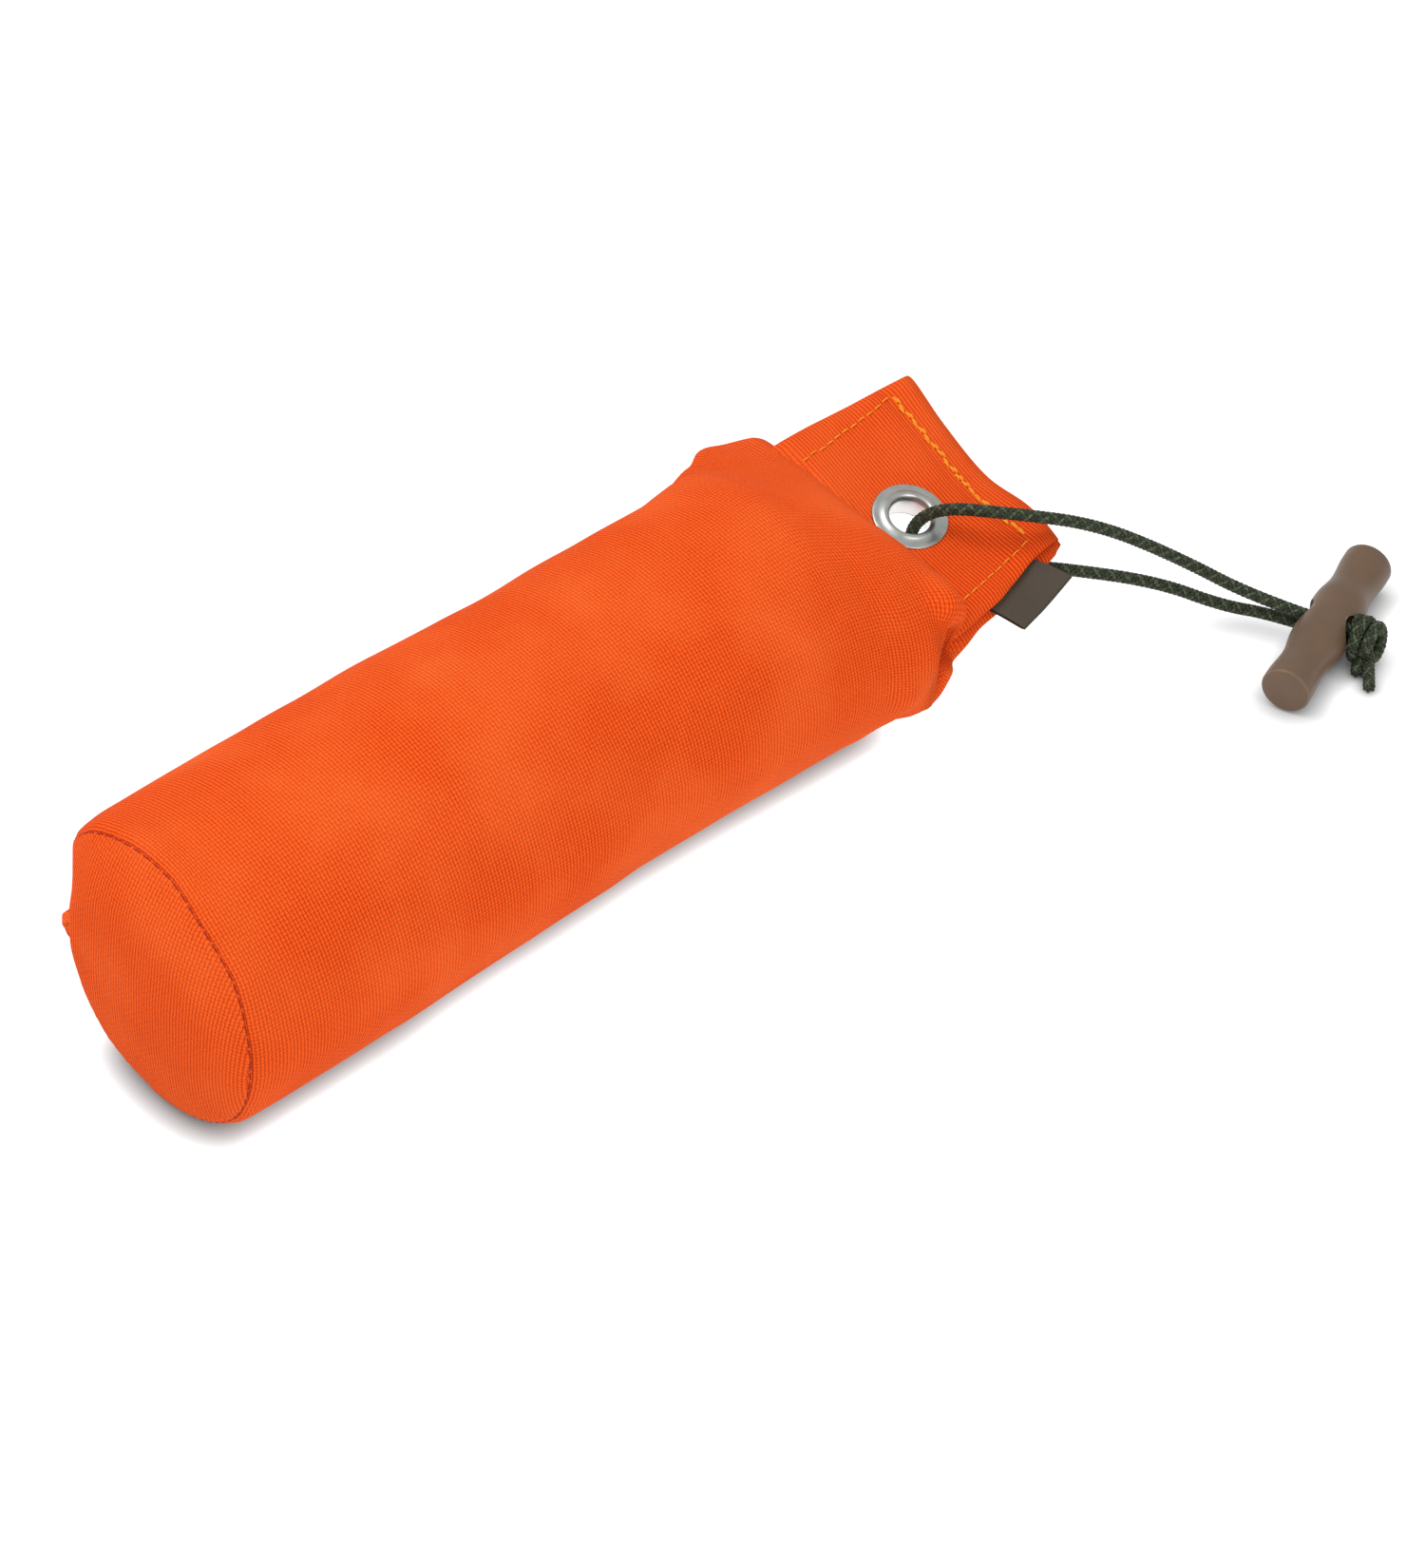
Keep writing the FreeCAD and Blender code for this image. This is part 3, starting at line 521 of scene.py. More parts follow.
def through(values, places, wanted):
    """Smooth values that pass through the given ones without overshooting between them."""
    widths = np.diff(places)
    slopes = np.diff(values, axis=0) / widths[:, None]
    tangents = np.zeros_like(values)
    tangents[0], tangents[-1] = slopes[0], slopes[-1]
    before, after = slopes[:-1], slopes[1:]
    w1 = (2 * widths[1:] + widths[:-1])[:, None]
    w2 = (widths[1:] + 2 * widths[:-1])[:, None]
    with np.errstate(divide="ignore", invalid="ignore"):
        mean = (w1 + w2) / (w1 / before + w2 / after)
    tangents[1:-1] = np.where(before * after > 0, mean, 0.0)
    index = np.clip(np.searchsorted(places, wanted, side="right") - 1, 0, len(widths) - 1)
    share = ((wanted - places[index]) / widths[index])[:, None]
    width = widths[index][:, None]
    h00 = 2 * share ** 3 - 3 * share ** 2 + 1
    h10 = share ** 3 - 2 * share ** 2 + share
    h01 = 1 - h00
    h11 = share ** 3 - share ** 2
    return (h00 * values[index] + h10 * width * tangents[index] + h01 * values[index + 1]
            + h11 * width * tangents[index + 1])


def wrinkle(point, angle):
    """Small unevenness of the filled canvas: soft dents, and puckers beside the base seam."""
    soft = 0.30 * noise.noise(point / 26) + 0.12 * noise.noise(point / 9)
    from_seam = point.x - SEAM_X
    pucker = 0.10 * math.sin(BASE_STITCHES * angle + 2 * noise.noise(point / 5))
    pucker *= math.exp(-max(from_seam, 0) / 2.6)
    lines = 0.14 * math.exp(-from_seam / 16) * noise.noise(Vector((from_seam / 30, angle * 5, 0)))
    settled = smooth(1.0, 5.0, point.z)
    return (soft * smooth(0, 8, from_seam) + pucker + lines) * settled


# How the seam wanders along X and how far the rim is dented in, by the angle from the far side.
RIM_ANGLES = (-60, -38, -24, -13, -5, 22, 40, 58, 80, 104, 122, 146, 165, 195, 240)
RIM_ALONG = (0, 0.8, 1.6, 2.2, 3.1, 3.3, 1.3, 0.8, 1.4, 1.7, 0.6, 0.9, 0, -0.7, -0.3)
RIM_DENT = (0, 0.5, 1.1, 1.6, 2.2, 2.1, 0.4, -0.3, -0.2, 0, 0, 0, 0, 0, 0)


def dented(point, fade):
    """A point near the base seam, moved with the uneven rim."""
    angle = math.atan2(point.z - AXIS_HEIGHT, point.y)
    degrees = math.degrees(angle) + (360 if angle < math.radians(-90) else 0)
    along = np.interp(degrees, RIM_ANGLES, RIM_ALONG)
    outward = Vector((0, math.cos(angle), math.sin(angle)))
    dent = np.interp(degrees, RIM_ANGLES, RIM_DENT)
    return point + Vector((along * fade, 0, 0)) - outward * (dent * fade)


def ring_point(angle, x, radius):
    """A point of the base seam at an angle, moved with the uneven rim."""
    place = Vector((x, radius * math.cos(angle), AXIS_HEIGHT + radius * math.sin(angle)))
    return dented(place, 1)


def cut_eyelet_hole(piece):
    """Remove the canvas inside the eyelet's barrel."""
    hole_radius, reach = 5.3, 8
    mesh = bmesh.new()
    mesh.from_mesh(piece.data)
    inside = []
    for face in mesh.faces:
        offset = face.calc_center_median() / MM - EYELET
        height = offset.dot(OUT)
        if abs(height) < reach and (offset - OUT * height).length < hole_radius:
            inside.append(face)
    bmesh.ops.delete(mesh, geom=inside, context="FACES")
    mesh.to_mesh(piece.data)
    mesh.free()


def make_canvas():
    """The tube and the flap as one cloth, from the base seam to the flap's end."""
    spacing, wrinkled_to = 0.9, 78
    outlines = np.array([section_outline(near, far) for near, far in canvas_sections()])
    gaps = np.linalg.norm(np.diff(outlines, axis=0), axis=2).mean(axis=1)
    places = np.concatenate([[0], np.cumsum(gaps)])
    wanted = [0.0]
    for start, stop in zip(places, places[1:]):
        count = max(2, math.ceil((stop - start) / spacing))
        wanted += [start + (stop - start) * (k + 1) / count for k in range(count)]
    wanted = np.array(wanted)
    rows, columns = len(wanted), outlines.shape[1]
    points = through(outlines.reshape(len(outlines), -1), places, wanted).reshape(rows, columns, 3)
    around = np.linalg.norm(np.diff(np.vstack([outlines[6], outlines[6][:1]]), axis=0), axis=1)
    column_places = np.concatenate([[0], np.cumsum(around)])
    for row in range(rows):
        for column in range(columns):
            x, y, z = points[row, column]
            if x > wrinkled_to:
                continue
            if x < SEAM_X + 10:
                fade = 1 - smooth(0, 9, x - SEAM_X)
                x, y, z = points[row, column] = dented(Vector((x, y, z)), fade)
            middle = AXIS_HEIGHT if x < 30 else 26.0
            outward = Vector((0, y, z - middle))
            push = wrinkle(Vector((x, y, z)), math.atan2(z - middle, y))
            push *= 1 - smooth(62, wrinkled_to, x)
            points[row, column] += np.array(outward.normalized() * push)
    points[:, :, 2] = np.maximum(points[:, :, 2], 0.02)
    faces = grid_faces(rows, columns, True)
    uvs = grid_uvs(wanted, column_places, faces, columns)
    piece = mesh_piece("canvas_tube_and_flap", points.reshape(-1, 3), faces, [canvas], uvs)
    cut_eyelet_hole(piece)
    return piece


def make_base():
    """The round base: a bulging disc whose edge turns in at the seam."""
    radii = [0.0] + [SEAM_RADIUS * math.sin(math.pi / 2 * k / 34) ** 0.9 for k in range(1, 35)]
    columns, height = 216, 5.2
    points = []
    for radius in radii:
        share = radius / SEAM_RADIUS
        for angle, across, up in circle(columns):
            place = Vector((0, radius * across, radius * up))
            bulge = height * max(1 - share ** 2.5, 0) ** 0.66
            bulge += 0.25 * noise.noise(place / 11 + Vector((3, 0, 0))) * (1 - share ** 6)
            ripple = 0.08 * math.sin(BASE_STITCHES * angle) + 0.05 * math.sin(97 * angle)
            bulge += ripple * share ** 9
            place = Vector((SEAM_X - 0.25 - bulge, place.y, AXIS_HEIGHT + place.z))
            points.append(dented(place, smooth(0.6, 1, share)))
    for inset, depth in ((0.5, 0.6), (1.4, 1.6)):
        for angle, _, _ in circle(columns):
            points.append(ring_point(angle, SEAM_X - 0.25 + depth, SEAM_RADIUS - inset))
    faces = [face[::-1] for face in grid_faces(len(radii) + 2, columns, True)]
    uvs = [(points[index][1] + 0.1 * points[index][2], points[index][2]) for face in faces
           for index in face]
    piece = mesh_piece("base_canvas", points, faces, [canvas], uvs)
    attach(piece, "dummy")
    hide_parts("base_disc")


def make_fill():
    """The granulate, a little smaller than the room inside the canvas."""
    middles = [(SEAM_X + 1.5, 20, 29), (SEAM_X + 3, 26, 29), (-60, 28.2, 29.2), (0, 27.6, 29),
               (50, 26.9, 28.6), (68, 24, 27), (74, 17, 26)]
    columns = 48
    points = []
    for x, radius, centre in middles:
        for _, across, up in circle(columns):
            points.append((x, radius * across, centre + radius * up))
    faces = grid_faces(len(middles), columns, True)
    faces.append(tuple(range(columns)))
    faces.append(tuple(range(len(points) - columns, len(points)))[::-1])
    shader = Shader("granulate")
    colour = shader.mix(shader.noise(300, 2, shader.place()), (0.35, 0.33, 0.30, 1),
                        (0.6, 0.57, 0.52, 1))
    piece = mesh_piece("granulate", points, faces, [shader.finish(Base_Color=colour,
                                                                  Roughness=0.8)])
    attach(piece, "dummy")
    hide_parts("granulate_fill")


make_fill()
canvas_piece = make_canvas()
make_base()
surface = BVHTree.FromObject(canvas_piece, bpy.context.evaluated_depsgraph_get())

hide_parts("body_panel", "flap_top_layer", "flap_bottom_layer", "gusset_near",
            "gusset_far")


# ---- thread


def capsule(start, end, up, width, height, points, faces):
    """Append one stitch: a small arched bar that dips into the canvas at both ends."""
    run = end - start
    ahead = run.normalized()
    side = ahead.cross(up).normalized()
    first = len(points)
    rings, corners = 9, 8
    for ring in range(rings):
        share = ring / (rings - 1)
        swell = math.sin(math.pi * (0.06 + 0.88 * share)) ** 0.45
        middle = start + run * share + up * (height * (1.35 * swell - 0.85))
        for _, out, lift in circle(corners):
            points.append(middle + side * (out * width / 2 * (0.55 + 0.45 * swell))
                          + up * (lift * height / 2))
    add_tube_faces(faces, first, rings, corners)


def land(origin, heading):
    """Where a ray meets the canvas, in millimetres, and the surface's normal there."""
    hit, normal, _, _ = surface.ray_cast(origin * MM, heading)
    if hit is None:
        raise RuntimeError("a stitch misses the canvas at %s" % origin)
    return hit / MM, normal


def flap_row(name, node, start, stop, pitch, width, uneven=0.0, doubled=False):
    """A row of stitches on the top of the flap between two of its points. In a doubled row each
    stitch has a second one beside it, on one side or the other."""
    points, faces = [], []
    run = Vector(stop) - Vector(start)
    count = round(run.length / pitch)
    for index in range(count):
        shift = uneven * noise.noise(Vector((index * 0.71, width * 9, 0)))
        across = Vector((-run.y, run.x)).normalized() * shift
        ends = []
        for share in (index + 0.12, index + 0.88):
            place = Vector(start) + run * (share / count) + across
            ends.append(land(on_flap(place.x, place.y, 12), -OUT))
        (head, up), (tail, _) = ends
        capsule(head, tail, up, width, STITCH_HEIGHT, points, faces)
        if doubled:
            slant = across.normalized() * (0.34 if index % 2 else -0.30)
            offset = Vector((slant.x, 0, 0)) + ACROSS * slant.y + up * 0.10
            slide = (tail - head) * 0.42
            capsule(head + offset + slide, tail + offset + slide, up, width * 0.9, STITCH_HEIGHT,
                    points, faces)
    piece = mesh_piece(name, points, faces, [orange_thread])
    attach(piece, "flap")
    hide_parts(node)


def make_base_seam_thread():
    """The thread round the base seam, stitch by stitch, each a little over its neighbour."""
    points, faces = [], []
    overlap = 1.12
    half = math.pi / BASE_STITCHES * overlap
    for index in range(BASE_STITCHES):
        middle = 2 * math.pi * (index + 0.2 * noise.noise(Vector((index, 0, 0)))) / BASE_STITCHES
        start, end = (ring_point(middle + d * half, SEAM_X - 0.35, SEAM_RADIUS - 0.25)
                      for d in (-1, 1))
        out = Vector((-0.35, math.cos(middle), math.sin(middle))).normalized()
        capsule(start, end, out, 0.3, 0.4, points, faces)
    piece = mesh_piece("base_seam_thread", points, faces, [dark_thread])
    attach(piece, "dummy")
    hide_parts("base_seam_stitches")


LAP_ANGLE = math.radians(-17)
LAP_HALF = 4.2


def lap_heading(across, length):
    """The way out of the tube at a place across the side seam, which narrows at the base."""
    narrow = 0.6 + 0.4 * smooth(2, 30, length)
    angle = LAP_ANGLE + across * narrow * LAP_HALF / BODY_RADIUS
    return Vector((0, math.cos(angle), math.sin(angle)))


def make_side_seam():
    """The felled seam on the far side: a raised strip, and two rows of stitches. Its end at the
    base is a thick rounded bump that stands out past the rim, closed by a row inside the tube."""
    low_x, high_x = SEAM_X + 2.7, 72.0
    rows, end_swell, end_push = 150, 4.4, 1.8
    profile = [(-1.12, -0.35), (-1.0, 0.25), (-0.92, 0.62), (-0.78, 0.72), (-0.62, 0.52),
               (-0.3, 0.62), (0.1, 0.66), (0.45, 0.62), (0.64, 0.46), (0.80, 0.60), (0.93, 0.5),
               (1.0, 0.15), (1.1, -0.35)]
    points = []
    lengths = [0.0] + [(high_x - low_x) * (row / (rows - 1)) ** 1.5 for row in range(rows)]
    for row, length in enumerate(lengths):
        x = low_x + length
        centre = Vector((x, 0, AXIS_HEIGHT - 1.0 * smooth(-60, 60, x)))
        fade = 1 - smooth(high_x - 5, high_x, x)
        thick = 1 + end_swell * math.exp(-((length - 1.0) / 2.2) ** 2)
        pushed = Vector((-end_push * math.exp(-length / 1.5), 0, 0))
        for across, height in profile:
            heading = lap_heading(across, length)
            hit, _ = land(centre + heading * 5, heading)
            dome = 0.68 * math.sqrt(max(1 - across * across, 0))
            smoothed = height + (dome - height) * math.exp(-(length / 5) ** 2)
            lift = smoothed * thick if height > 0 else height
            if row == 0:
                points.append(hit + pushed * 0.3 - heading * 1.4)
            else:
                points.append(hit + pushed + heading * ((lift + 0.35) * fade - 0.35))
    columns = len(profile)
    faces = grid_faces(len(lengths), columns, False)
    uvs = grid_uvs(lengths, [across * LAP_HALF for across, _ in profile], faces, columns)
    piece = mesh_piece("side_seam_felled", points, faces, [canvas], uvs)
    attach(piece, "dummy")
    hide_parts("side_seam_lap")

    strip = BVHTree.FromObject(piece, bpy.context.evaluated_depsgraph_get())
    points, faces = [], []
    pitch = 3.0
    count = int((high_x - 8 - low_x) / pitch)
    for side in (-0.62, 0.64):
        for index in range(count):
            ends = []
            for share in (0.14, 0.86):
                x = low_x + 1.5 + (index + share) * pitch
                heading = lap_heading(side, x - low_x)
                origin = Vector((x, 0, AXIS_HEIGHT)) + heading * 60
                hit, _, _, _ = strip.ray_cast(origin * MM, -heading)
                ends.append(hit / MM)
            capsule(*ends, heading, 0.5, STITCH_HEIGHT, points, faces)
    thread = mesh_piece("side_seam_thread", points, faces, [orange_thread])
    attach(thread, "dummy")
    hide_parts("side_seam_stitches")


make_base_seam_thread()
make_side_seam()
flap_row("flap_far_thread", "flap_far_stitches", (-10.5, 20.5), (14.0, 22.4), 2.3, 0.38, 0.6)
flap_row("flap_end_thread", "flap_end_stitches", (14.7, 22.4), (14.5, -16.0), 1.9, 0.72, 0.5, True)
flap_row("flap_near_thread", "flap_near_stitches", (14.0, -17.8), (-7.5, -20.9), 2.3, 0.32, 0.3)


# ---- eyelet, label


def turned(name, profile):
    """A ring turned about the eyelet's axis from a closed line of (radius, height) points."""
    points = []
    for _, forward, aside in circle(96):
        for radius, height in profile:
            points.append(EYELET + ALONG * (radius * forward) + ACROSS * (radius * aside)
                          + OUT * height)
    faces = [tuple(face[corner] % len(points) for corner in (0, 3, 2, 1))
             for face in grid_faces(96 + 1, len(profile), True)]
    return mesh_piece(name, points, faces, [eyelet_metal])


def arc(centre, radius, start, stop, steps, squash=1.0):
    """Points of an arc in a profile, by angles in degrees."""
    out = []
    for step in range(steps + 1):
        angle = math.radians(start + (stop - start) * step / steps)
        out.append((centre[0] + radius * math.cos(angle),
                    centre[1] + radius * math.sin(angle) * squash))
    return out


def make_eyelet():
    """A rolled eyelet: domed flange on top, a barrel whose metal is painted far paler than the
    flange, a painted reflection that makes the hole look lit, and a curled lip over a washer below."""
    outer = arc((7.1, 2.32), 0.42, -60, 60, 8)
    crown = arc((5.0, 2.0), 0.95, 62, 180, 14, 1.35)
    lip = arc((5.4, -2.75), 0.75, 180, 320, 10, 0.95)
    slope = [(6.6, 2.72), (6.0, 2.74)]
    barrel = [(4.06, 1.6), (4.3, -0.9), (4.62, -2.3)]
    inner = [(5.5, -2.65), (5.02, -2.3), (4.7, -0.9), (4.55, 1.7), (5.2, 2.05), (7.0, 2.02)]
    profile = outer + slope + crown + barrel + lip + inner
    top = turned("eyelet_rolled", profile)
    # Painted reflection: the barrel's faces take the paler metal.
    top.data.materials.append(lit_barrel_metal)
    start = len(outer + slope + crown) - 1
    for index, polygon in enumerate(top.data.polygons):
        if start <= index % len(profile) <= start + len(barrel):
            polygon.material_index = 1
    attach(top, "flap")
    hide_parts("eyelet")
    washer = [(5.1, -2.15), (7.0, -2.15), (7.3, -2.3), (7.28, -2.6), (6.9, -2.82), (5.1, -2.82)]
    ring = turned("eyelet_back_washer", washer)
    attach(ring, "flap")
    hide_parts("eyelet_washer")


def make_label():
    """The ribbon label, folded double and sewn into the flap's near edge."""
    root_start, root_end = Vector((-0.9, -24.4, 0.0)), Vector((13.0, -21.6, 0.3))
    reach = Vector((3.2, -8.0, 0))
    long_steps, wide_steps = 28, 12
    half_thickness, tucked = 0.36, 0.12
    rows = []
    for leaf in (1, -1):
        order = range(wide_steps + 1) if leaf > 0 else range(wide_steps, -1, -1)
        for step in order:
            share = step / wide_steps
            pinch = math.sqrt(max(1 - share ** 14, 0))
            rows.append((share, leaf * half_thickness * pinch))
    points = []
    for share, height in rows:
        for column in range(long_steps + 1):
            along = column / long_steps
            flat = root_start.lerp(root_end, along) + reach * (share - tucked)
            wave = 0.35 * math.sin(2.2 * along + 0.6) * share - 0.5 * share ** 2
            place = on_flap(flat.x, max(flat.y, -23), height + wave)
            place += ACROSS * (min(flat.y, -23) + 23)
            points.append(place)
    columns = long_steps + 1
    faces = grid_faces(len(rows), columns, False)
    length = (root_end - root_start).length
    column_places = [length * column / long_steps for column in range(columns)]
    pairs = grid_uvs([reach.length * share for share, _ in rows], column_places, faces, columns)
    uvs = [(column_place, row_place) for row_place, column_place in pairs]
    piece = mesh_piece("ribbon_label", points, faces, [label_ribbon], uvs)
    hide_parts("side_label")
    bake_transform(piece)


make_eyelet()
make_label()


# ---- cord, knot and toggle

TOGGLE = Vector(joints["knot_twist"]["pos_m"]) / MM
BUNDLE = Vector(joints["knot_twist"]["axis"]).normalized()
BAR = Vector((0, 0, 1)).cross(BUNDLE).normalized()
CORD_RADIUS = 1.25
BUNDLE_HALF = 1.3
BUNDLE_ROLL = math.radians(95)


def strand(along, side):
    """A point on the middle of either strand where both run side by side through the toggle."""
    across = BAR * math.cos(BUNDLE_ROLL) + Vector((0, 0, math.sin(BUNDLE_ROLL)))
    return TOGGLE + BUNDLE * along + across * (side * BUNDLE_HALF)


ROUTE = [
    strand(5.6, 1),
    strand(-14, 1),
    Vector((137.5, -33, 20)),
    Vector((122.5, -26.2, 32.2)),
    Vector((108.8, -18, 37.4)),
    Vector((99.4, -3.6, 35.6)),
    Vector((98.5, 1.8, 22)),
    Vector((109.5, -10.2, 19.8)),
    Vector((121, -20.2, 18)),
    Vector((136.5, -30, 12)),
    Vector((147.5, -37.4, 4.2)),
    strand(-11.5, -1),
    strand(5.6, -1),
]


def smooth_line(points):
    """The points of a NURBS line through a route, as Blender evaluates it, in millimetres."""
    curve = bpy.data.curves.new("route", "CURVE")
    curve.dimensions = "3D"
    spline = curve.splines.new("NURBS")
    spline.points.add(len(points) - 1)
    for control, point in zip(spline.points, points):
        control.co = (*(point * MM), 1)
    spline.order_u = 3
    spline.use_endpoint_u = True
    spline.resolution_u = 24
    holder = placed("route", curve)
    bpy.context.view_layer.update()
    line = bpy.data.meshes.new_from_object(holder)
    places = [vertex.co / MM for vertex in line.vertices]
    bpy.data.objects.remove(holder)
    return places


def even(line, spacing):
    """The same line with evenly spaced points."""
    lengths = [0.0]
    for first, second in zip(line, line[1:]):
        lengths.append(lengths[-1] + (second - first).length)
    count = max(2, round(lengths[-1] / spacing))
    out = []
    index = 0
    for step in range(count + 1):
        wanted = lengths[-1] * step / count
        while index < len(line) - 2 and lengths[index + 1] < wanted:
            index += 1
        span = lengths[index + 1] - lengths[index]
        share = (wanted - lengths[index]) / span if span else 0.0
        out.append(line[index].lerp(line[index + 1], min(share, 1.0)))
    return out


def carried_frames(line):
    """For each point of a line: its heading and two sides that turn as little as possible."""
    frames = []
    side = None
    for index, point in enumerate(line):
        before = line[max(index - 1, 0)]
        after = line[min(index + 1, len(line) - 1)]
        heading = (after - before).normalized()
        if side is None:
            side = heading.orthogonal().normalized()
        side = (side - heading * side.dot(heading)).normalized()
        frames.append((heading, side, heading.cross(side)))
    return frames


def tube_into(line, frames, width, height, corners, points, faces):
    """Append a tube with an elliptic section: its width lies along each frame's first side and
    its height along the second."""
    first = len(points)
    for place, (_, across, up) in zip(line, frames):
        for _, out, lift in circle(corners):
            points.append(place + across * (out * width / 2) + up * (lift * height / 2))
    add_tube_faces(faces, first, len(line), corners)


BRAID_CARRIERS = 6
BRAID_PITCH = 6.2


def braid(name, routes, spacing=0.27):
    """Round braid along each route: two families of bundles that pass over and under, on a core."""
    radius = CORD_RADIUS
    steep = 2 * math.pi * 0.75 * radius / BRAID_PITCH
    points, faces, slots = [], [], []
    for route in routes:
        line = even(route, spacing)
        frames = carried_frames(line)
        length = sum((b - a).length for a, b in zip(line, line[1:]))
        before = len(faces)
        tube_into(line, frames, 1.4 * radius, 1.4 * radius, 10, points, faces)
        slots += [0] * (len(faces) - before)
        for family in (1, -1):
            for carrier in range(BRAID_CARRIERS):
                path, sides = [], []
                for index, (place, (heading, side, other)) in enumerate(zip(line, frames)):
                    run = length * index / (len(line) - 1)
                    turn = 2 * math.pi * (carrier / BRAID_CARRIERS + family * run / BRAID_PITCH)
                    out = side * math.cos(turn) + other * math.sin(turn)
                    turning = (other * math.cos(turn) - side * math.sin(turn)) * family
                    wave = math.cos(2 * math.pi * BRAID_CARRIERS * run / BRAID_PITCH)
                    path.append(place + out * (radius * (0.75 + 0.09 * family * wave)))
                    ahead = (heading + turning * steep).normalized()
                    sides.append((ahead, out.cross(ahead), out))
                before = len(faces)
                tube_into(path, sides, 0.54 * radius, 0.38 * radius, 6, points, faces)
                slots += [1 if carrier % 3 == 1 else 0] * (len(faces) - before)
    return mesh_piece(name, points, faces, [braid_dark, braid_green], slots=slots)


def local(along, across, up):
    """A point in the toggle's frame: along the strands, along the bar, and up."""
    return TOGGLE + BUNDLE * along + BAR * across + Vector((0, 0, up))


def make_cord():
    """The throw cord's loop, its middle line and its length."""
    line = smooth_line(ROUTE)
    piece = braid("throw_cord_braid", [line])
    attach(piece, "cord")
    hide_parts("throw_cord")
    length = sum((b - a).length for a, b in zip(line, line[1:]))
    return piece, line, length


def knotted(name, routes):
    """Braids along routes whose points are given in the toggle's frame."""
    return braid(name, [smooth_line([local(*place) for place in route]) for route in routes], 0.3)


def make_knot():
    """An overhand knot in both strands, and its two short tails."""
    knot = knotted("cord_knot_braid", [
        [(5.4, 0.2, 1.3), (5.6, 2.2, 2.8), (5.9, 3.6, 1.0), (6.1, 3.0, -2.9), (6.3, 0, -4.2),
         (6.5, -3.0, -2.9), (6.8, -3.6, 1.4), (7.1, -1.0, 4.0), (7.8, 2.4, 3.2), (8.4, 2.8, -0.5),
         (8.6, 0.5, -1.5)],
        [(5.4, -0.2, -1.3), (6.6, -0.6, -1.6), (8.0, -1.8, -2.6), (9.0, -3.0, 0.2),
         (9.6, -1.6, 3.2), (9.9, 1.4, 3.4), (10.2, 3.0, 0.2), (10.3, 1.8, -3.0),
         (10.1, -1.2, -3.4), (9.4, -2.6, -1.4), (8.6, -1.0, 0.5)],
    ])
    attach(knot, "knot")
    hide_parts("cord_knot")
    ends = knotted("cord_tail_braids", [
        [(9.4, -0.8, -2.6), (9.9, -2.6, -3.2), (11.2, -5.4, -3.7), (12.5, -8.4, -4.0)],
        [(7.6, -0.8, -2.4), (7.8, -2.6, -3.1), (8.2, -4.2, -3.7), (8.8, -5.6, -4.0)],
    ])
    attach(ends, "knot")
    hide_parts("cord_tails")
    return knot, ends


def make_toggle():
    """The bar: turned, with eased shoulders, a broken edge at each end, and a cross hole that
    widens towards the eyelet, where the strands part."""
    half, end_radius, middle = 20.7, 4.95, 5.4
    places = [(-half, 0.0), (-half, 3.0), (-half, end_radius - 0.42)]
    places += [(-half + 0.12, end_radius - 0.14), (-half + 0.4, end_radius)]
    for step in range(1, 60):
        x = -half + 0.6 + (2 * half - 1.2) * step / 60
        rise = 1 - smooth(4.6, 12.2, abs(x))
        waist = 0.42 * smooth(6, 11.5, abs(x)) * (1 - smooth(12.5, 18.5, abs(x)))
        places.append((x, end_radius + (middle - end_radius) * rise - waist))
    places += [(half - 0.4, end_radius), (half - 0.12, end_radius - 0.14)]
    places += [(half, end_radius - 0.42), (half, 3.0), (half, 0.0)]
    steps, corners = 72, 48
    points = []
    for x, radius in places:
        for _, out, up in circle(steps):
            points.append(TOGGLE + BAR * x + BUNDLE * (radius * out) + Vector((0, 0, radius * up)))
    bar = mesh_piece("toggle_bar", points, grid_faces(len(places), steps, True), [toggle_brown])
    bar.data.validate()
    drill = bpy.data.meshes.new("drill")
    rings, sides = [], []
    for depth, bore in ((-8, 4.5), (8, 3.5)):
        rings += [local(depth, bore * out, bore * up) * MM for _, out, up in circle(corners)]
    add_tube_faces(sides, 0, 2, corners)
    drill.from_pydata(rings, [], sides)
    cutter = placed("drill", drill)
    hole = bar.modifiers.new("hole", "BOOLEAN")
    hole.object = cutter
    hole.operation = "DIFFERENCE"
    hole.solver = "EXACT"
    bpy.context.view_layer.update()
    cut = bpy.data.meshes.new_from_object(bar.evaluated_get(
        bpy.context.evaluated_depsgraph_get()))
    bar.modifiers.clear()
    bar.data = cut
    bpy.data.objects.remove(cutter)
    cut.polygons.foreach_set("use_smooth", [True] * len(cut.polygons))
    cut.set_sharp_from_angle(angle=math.radians(38))
    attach(bar, "toggle")
    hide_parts("toggle")


cord_piece, cord_line, cord_length = make_cord()
knot_piece, tail_piece = make_knot()
make_toggle()


# ---- riding, stage, light, camera

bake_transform(canvas_piece)


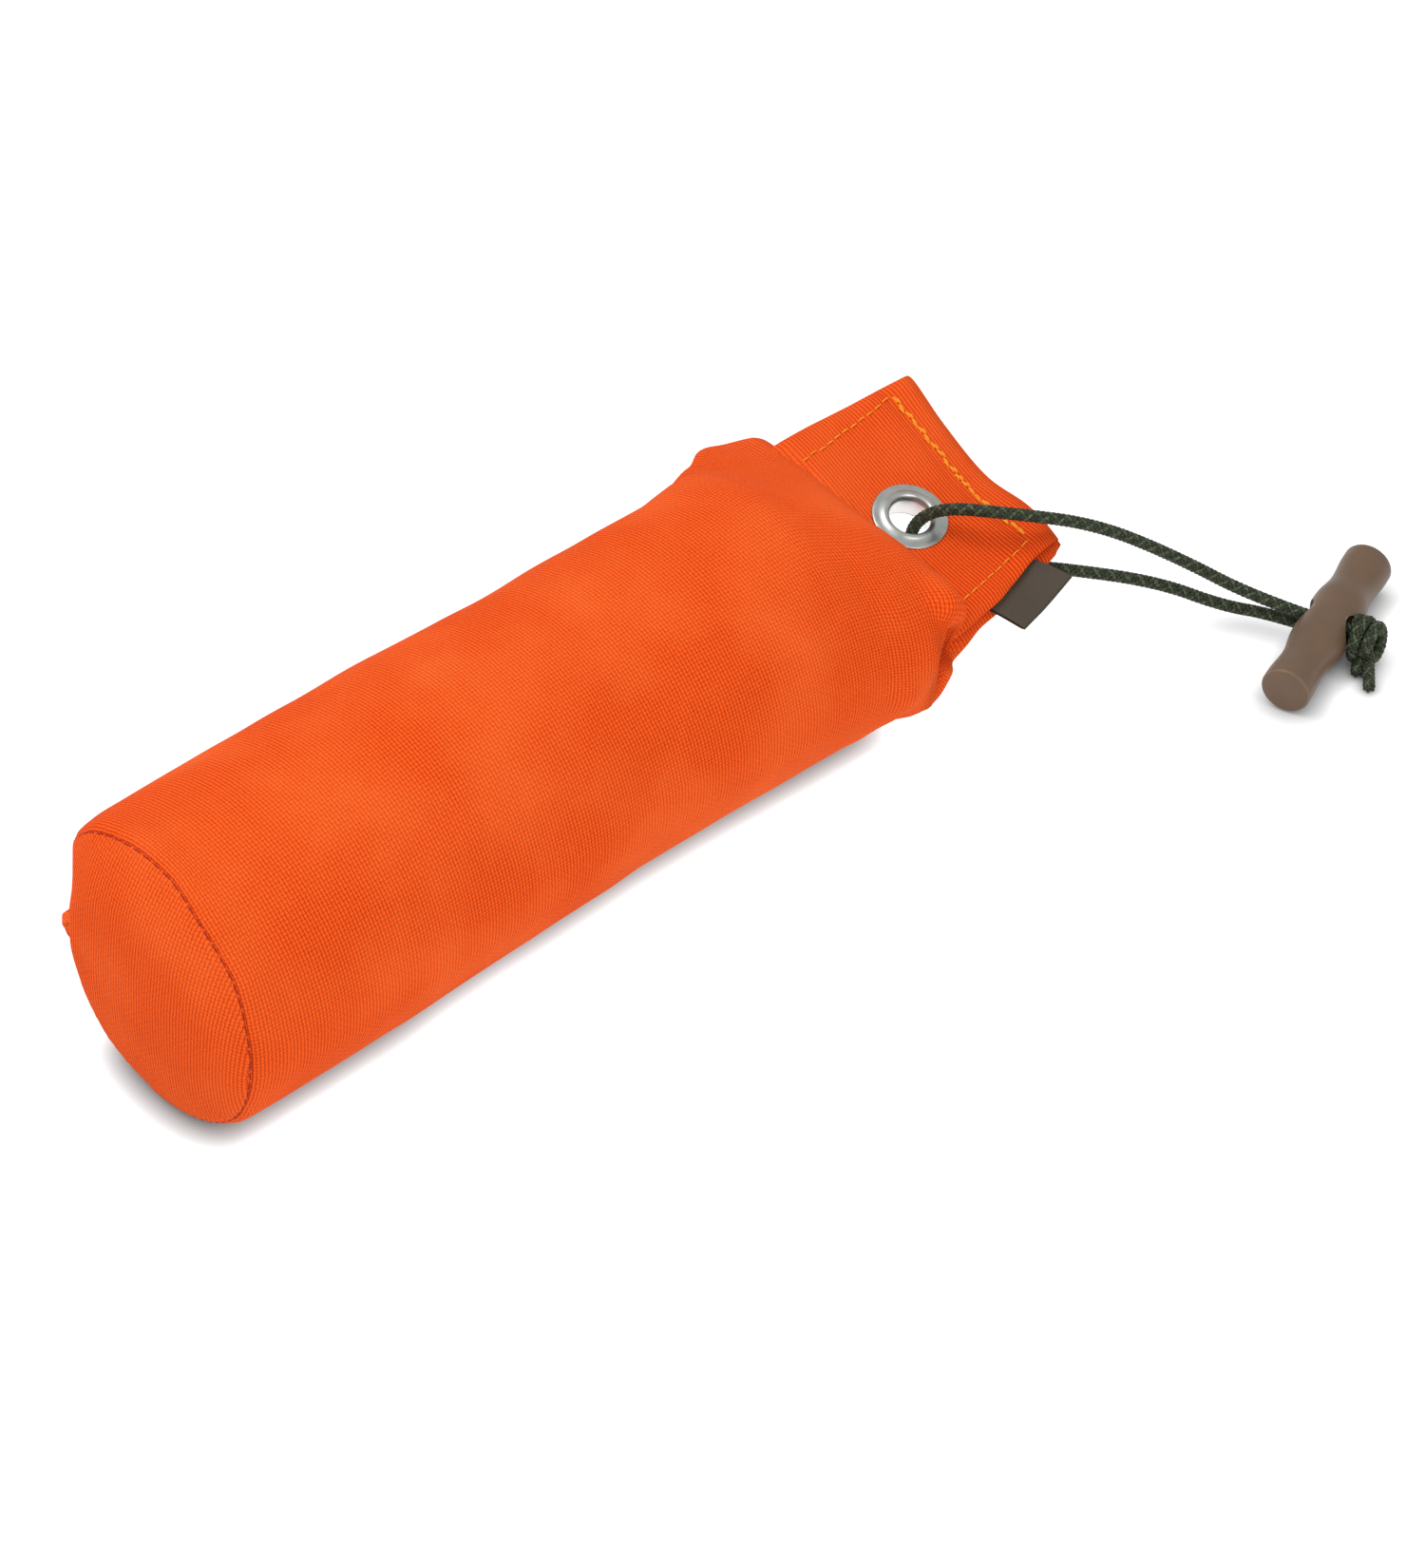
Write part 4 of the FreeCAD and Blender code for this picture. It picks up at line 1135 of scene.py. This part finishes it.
def make_stage():
    """A white floor that shines by itself, with a painted shadow: an occlusion node dims it in the
    narrow gap beside whatever lies on it.
    """
    shader = Shader("floor")
    # Painted shadow: the floor's own light is dimmed by occlusion near the part, not by cast light.
    near = shader.add("ShaderNodeAmbientOcclusion", Distance=0.0052)
    near.samples = 12
    glow_with_painted_shadow = shader.math("POWER", near.outputs["AO"], 1.45)
    material = shader.finish(Base_Color=(0.16, 0.16, 0.16, 1), Roughness=0.9,
                             Specular_IOR_Level=0.0, Emission_Color=(1, 1, 1, 1),
                             Emission_Strength=glow_with_painted_shadow)
    size = 4000
    floor = mesh_piece("floor", [(-size, -size, 0), (size, -size, 0), (size, size, 0),
                                 (-size, size, 0)], [(0, 1, 2, 3)], [material])


def look_along(thing, place, heading):
    """Put a lamp or the camera at a place, looking along a heading."""
    thing.location = place
    thing.rotation_mode = "QUATERNION"
    thing.rotation_quaternion = heading.to_track_quat("-Z", "Y")


def make_lamp(name, place, target, size, power):
    """A round area lamp that faces its target."""
    data = bpy.data.lights.new(name, "AREA")
    data.shape = "DISK"
    data.size = size
    data.energy = power
    look_along(placed(name, data), place, Vector(target) - Vector(place))


def make_light():
    """An even white world, a key lamp above and a weaker one in front."""
    world = bpy.data.worlds.new("studio")
    world.use_nodes = True
    background = world.node_tree.nodes["Background"]
    background.inputs["Color"].default_value = (1, 1, 1, 1)
    background.inputs["Strength"].default_value = 0.75
    scene.world = world
    make_lamp("key", (-0.35, 0.45, 1.1), (0.02, 0, 0.02), 0.8, 9.0)
    make_lamp("front", (-0.15, -1.0, 0.65), (0.02, 0, 0.03), 0.7, 4.0)
    scene.view_settings.view_transform = "Standard"
    scene.view_settings.look = "None"


AZIMUTH, ELEVATION, DISTANCE = math.radians(-42), math.radians(43), 1.1
AIM = Vector((0.02176, -0.02938, 0.030))
LENS = 139.4


def make_camera():
    """The camera that sees the part as it is shown at rest."""
    data = bpy.data.cameras.new("camera")
    data.sensor_width = 36
    data.lens = LENS
    camera = placed("camera", data)
    back = Vector((math.sin(AZIMUTH) * math.cos(ELEVATION),
                   -math.cos(AZIMUTH) * math.cos(ELEVATION), math.sin(ELEVATION)))
    look_along(camera, AIM + back * DISTANCE, -back)
    scene.camera = camera


make_stage()
make_light()
make_camera()
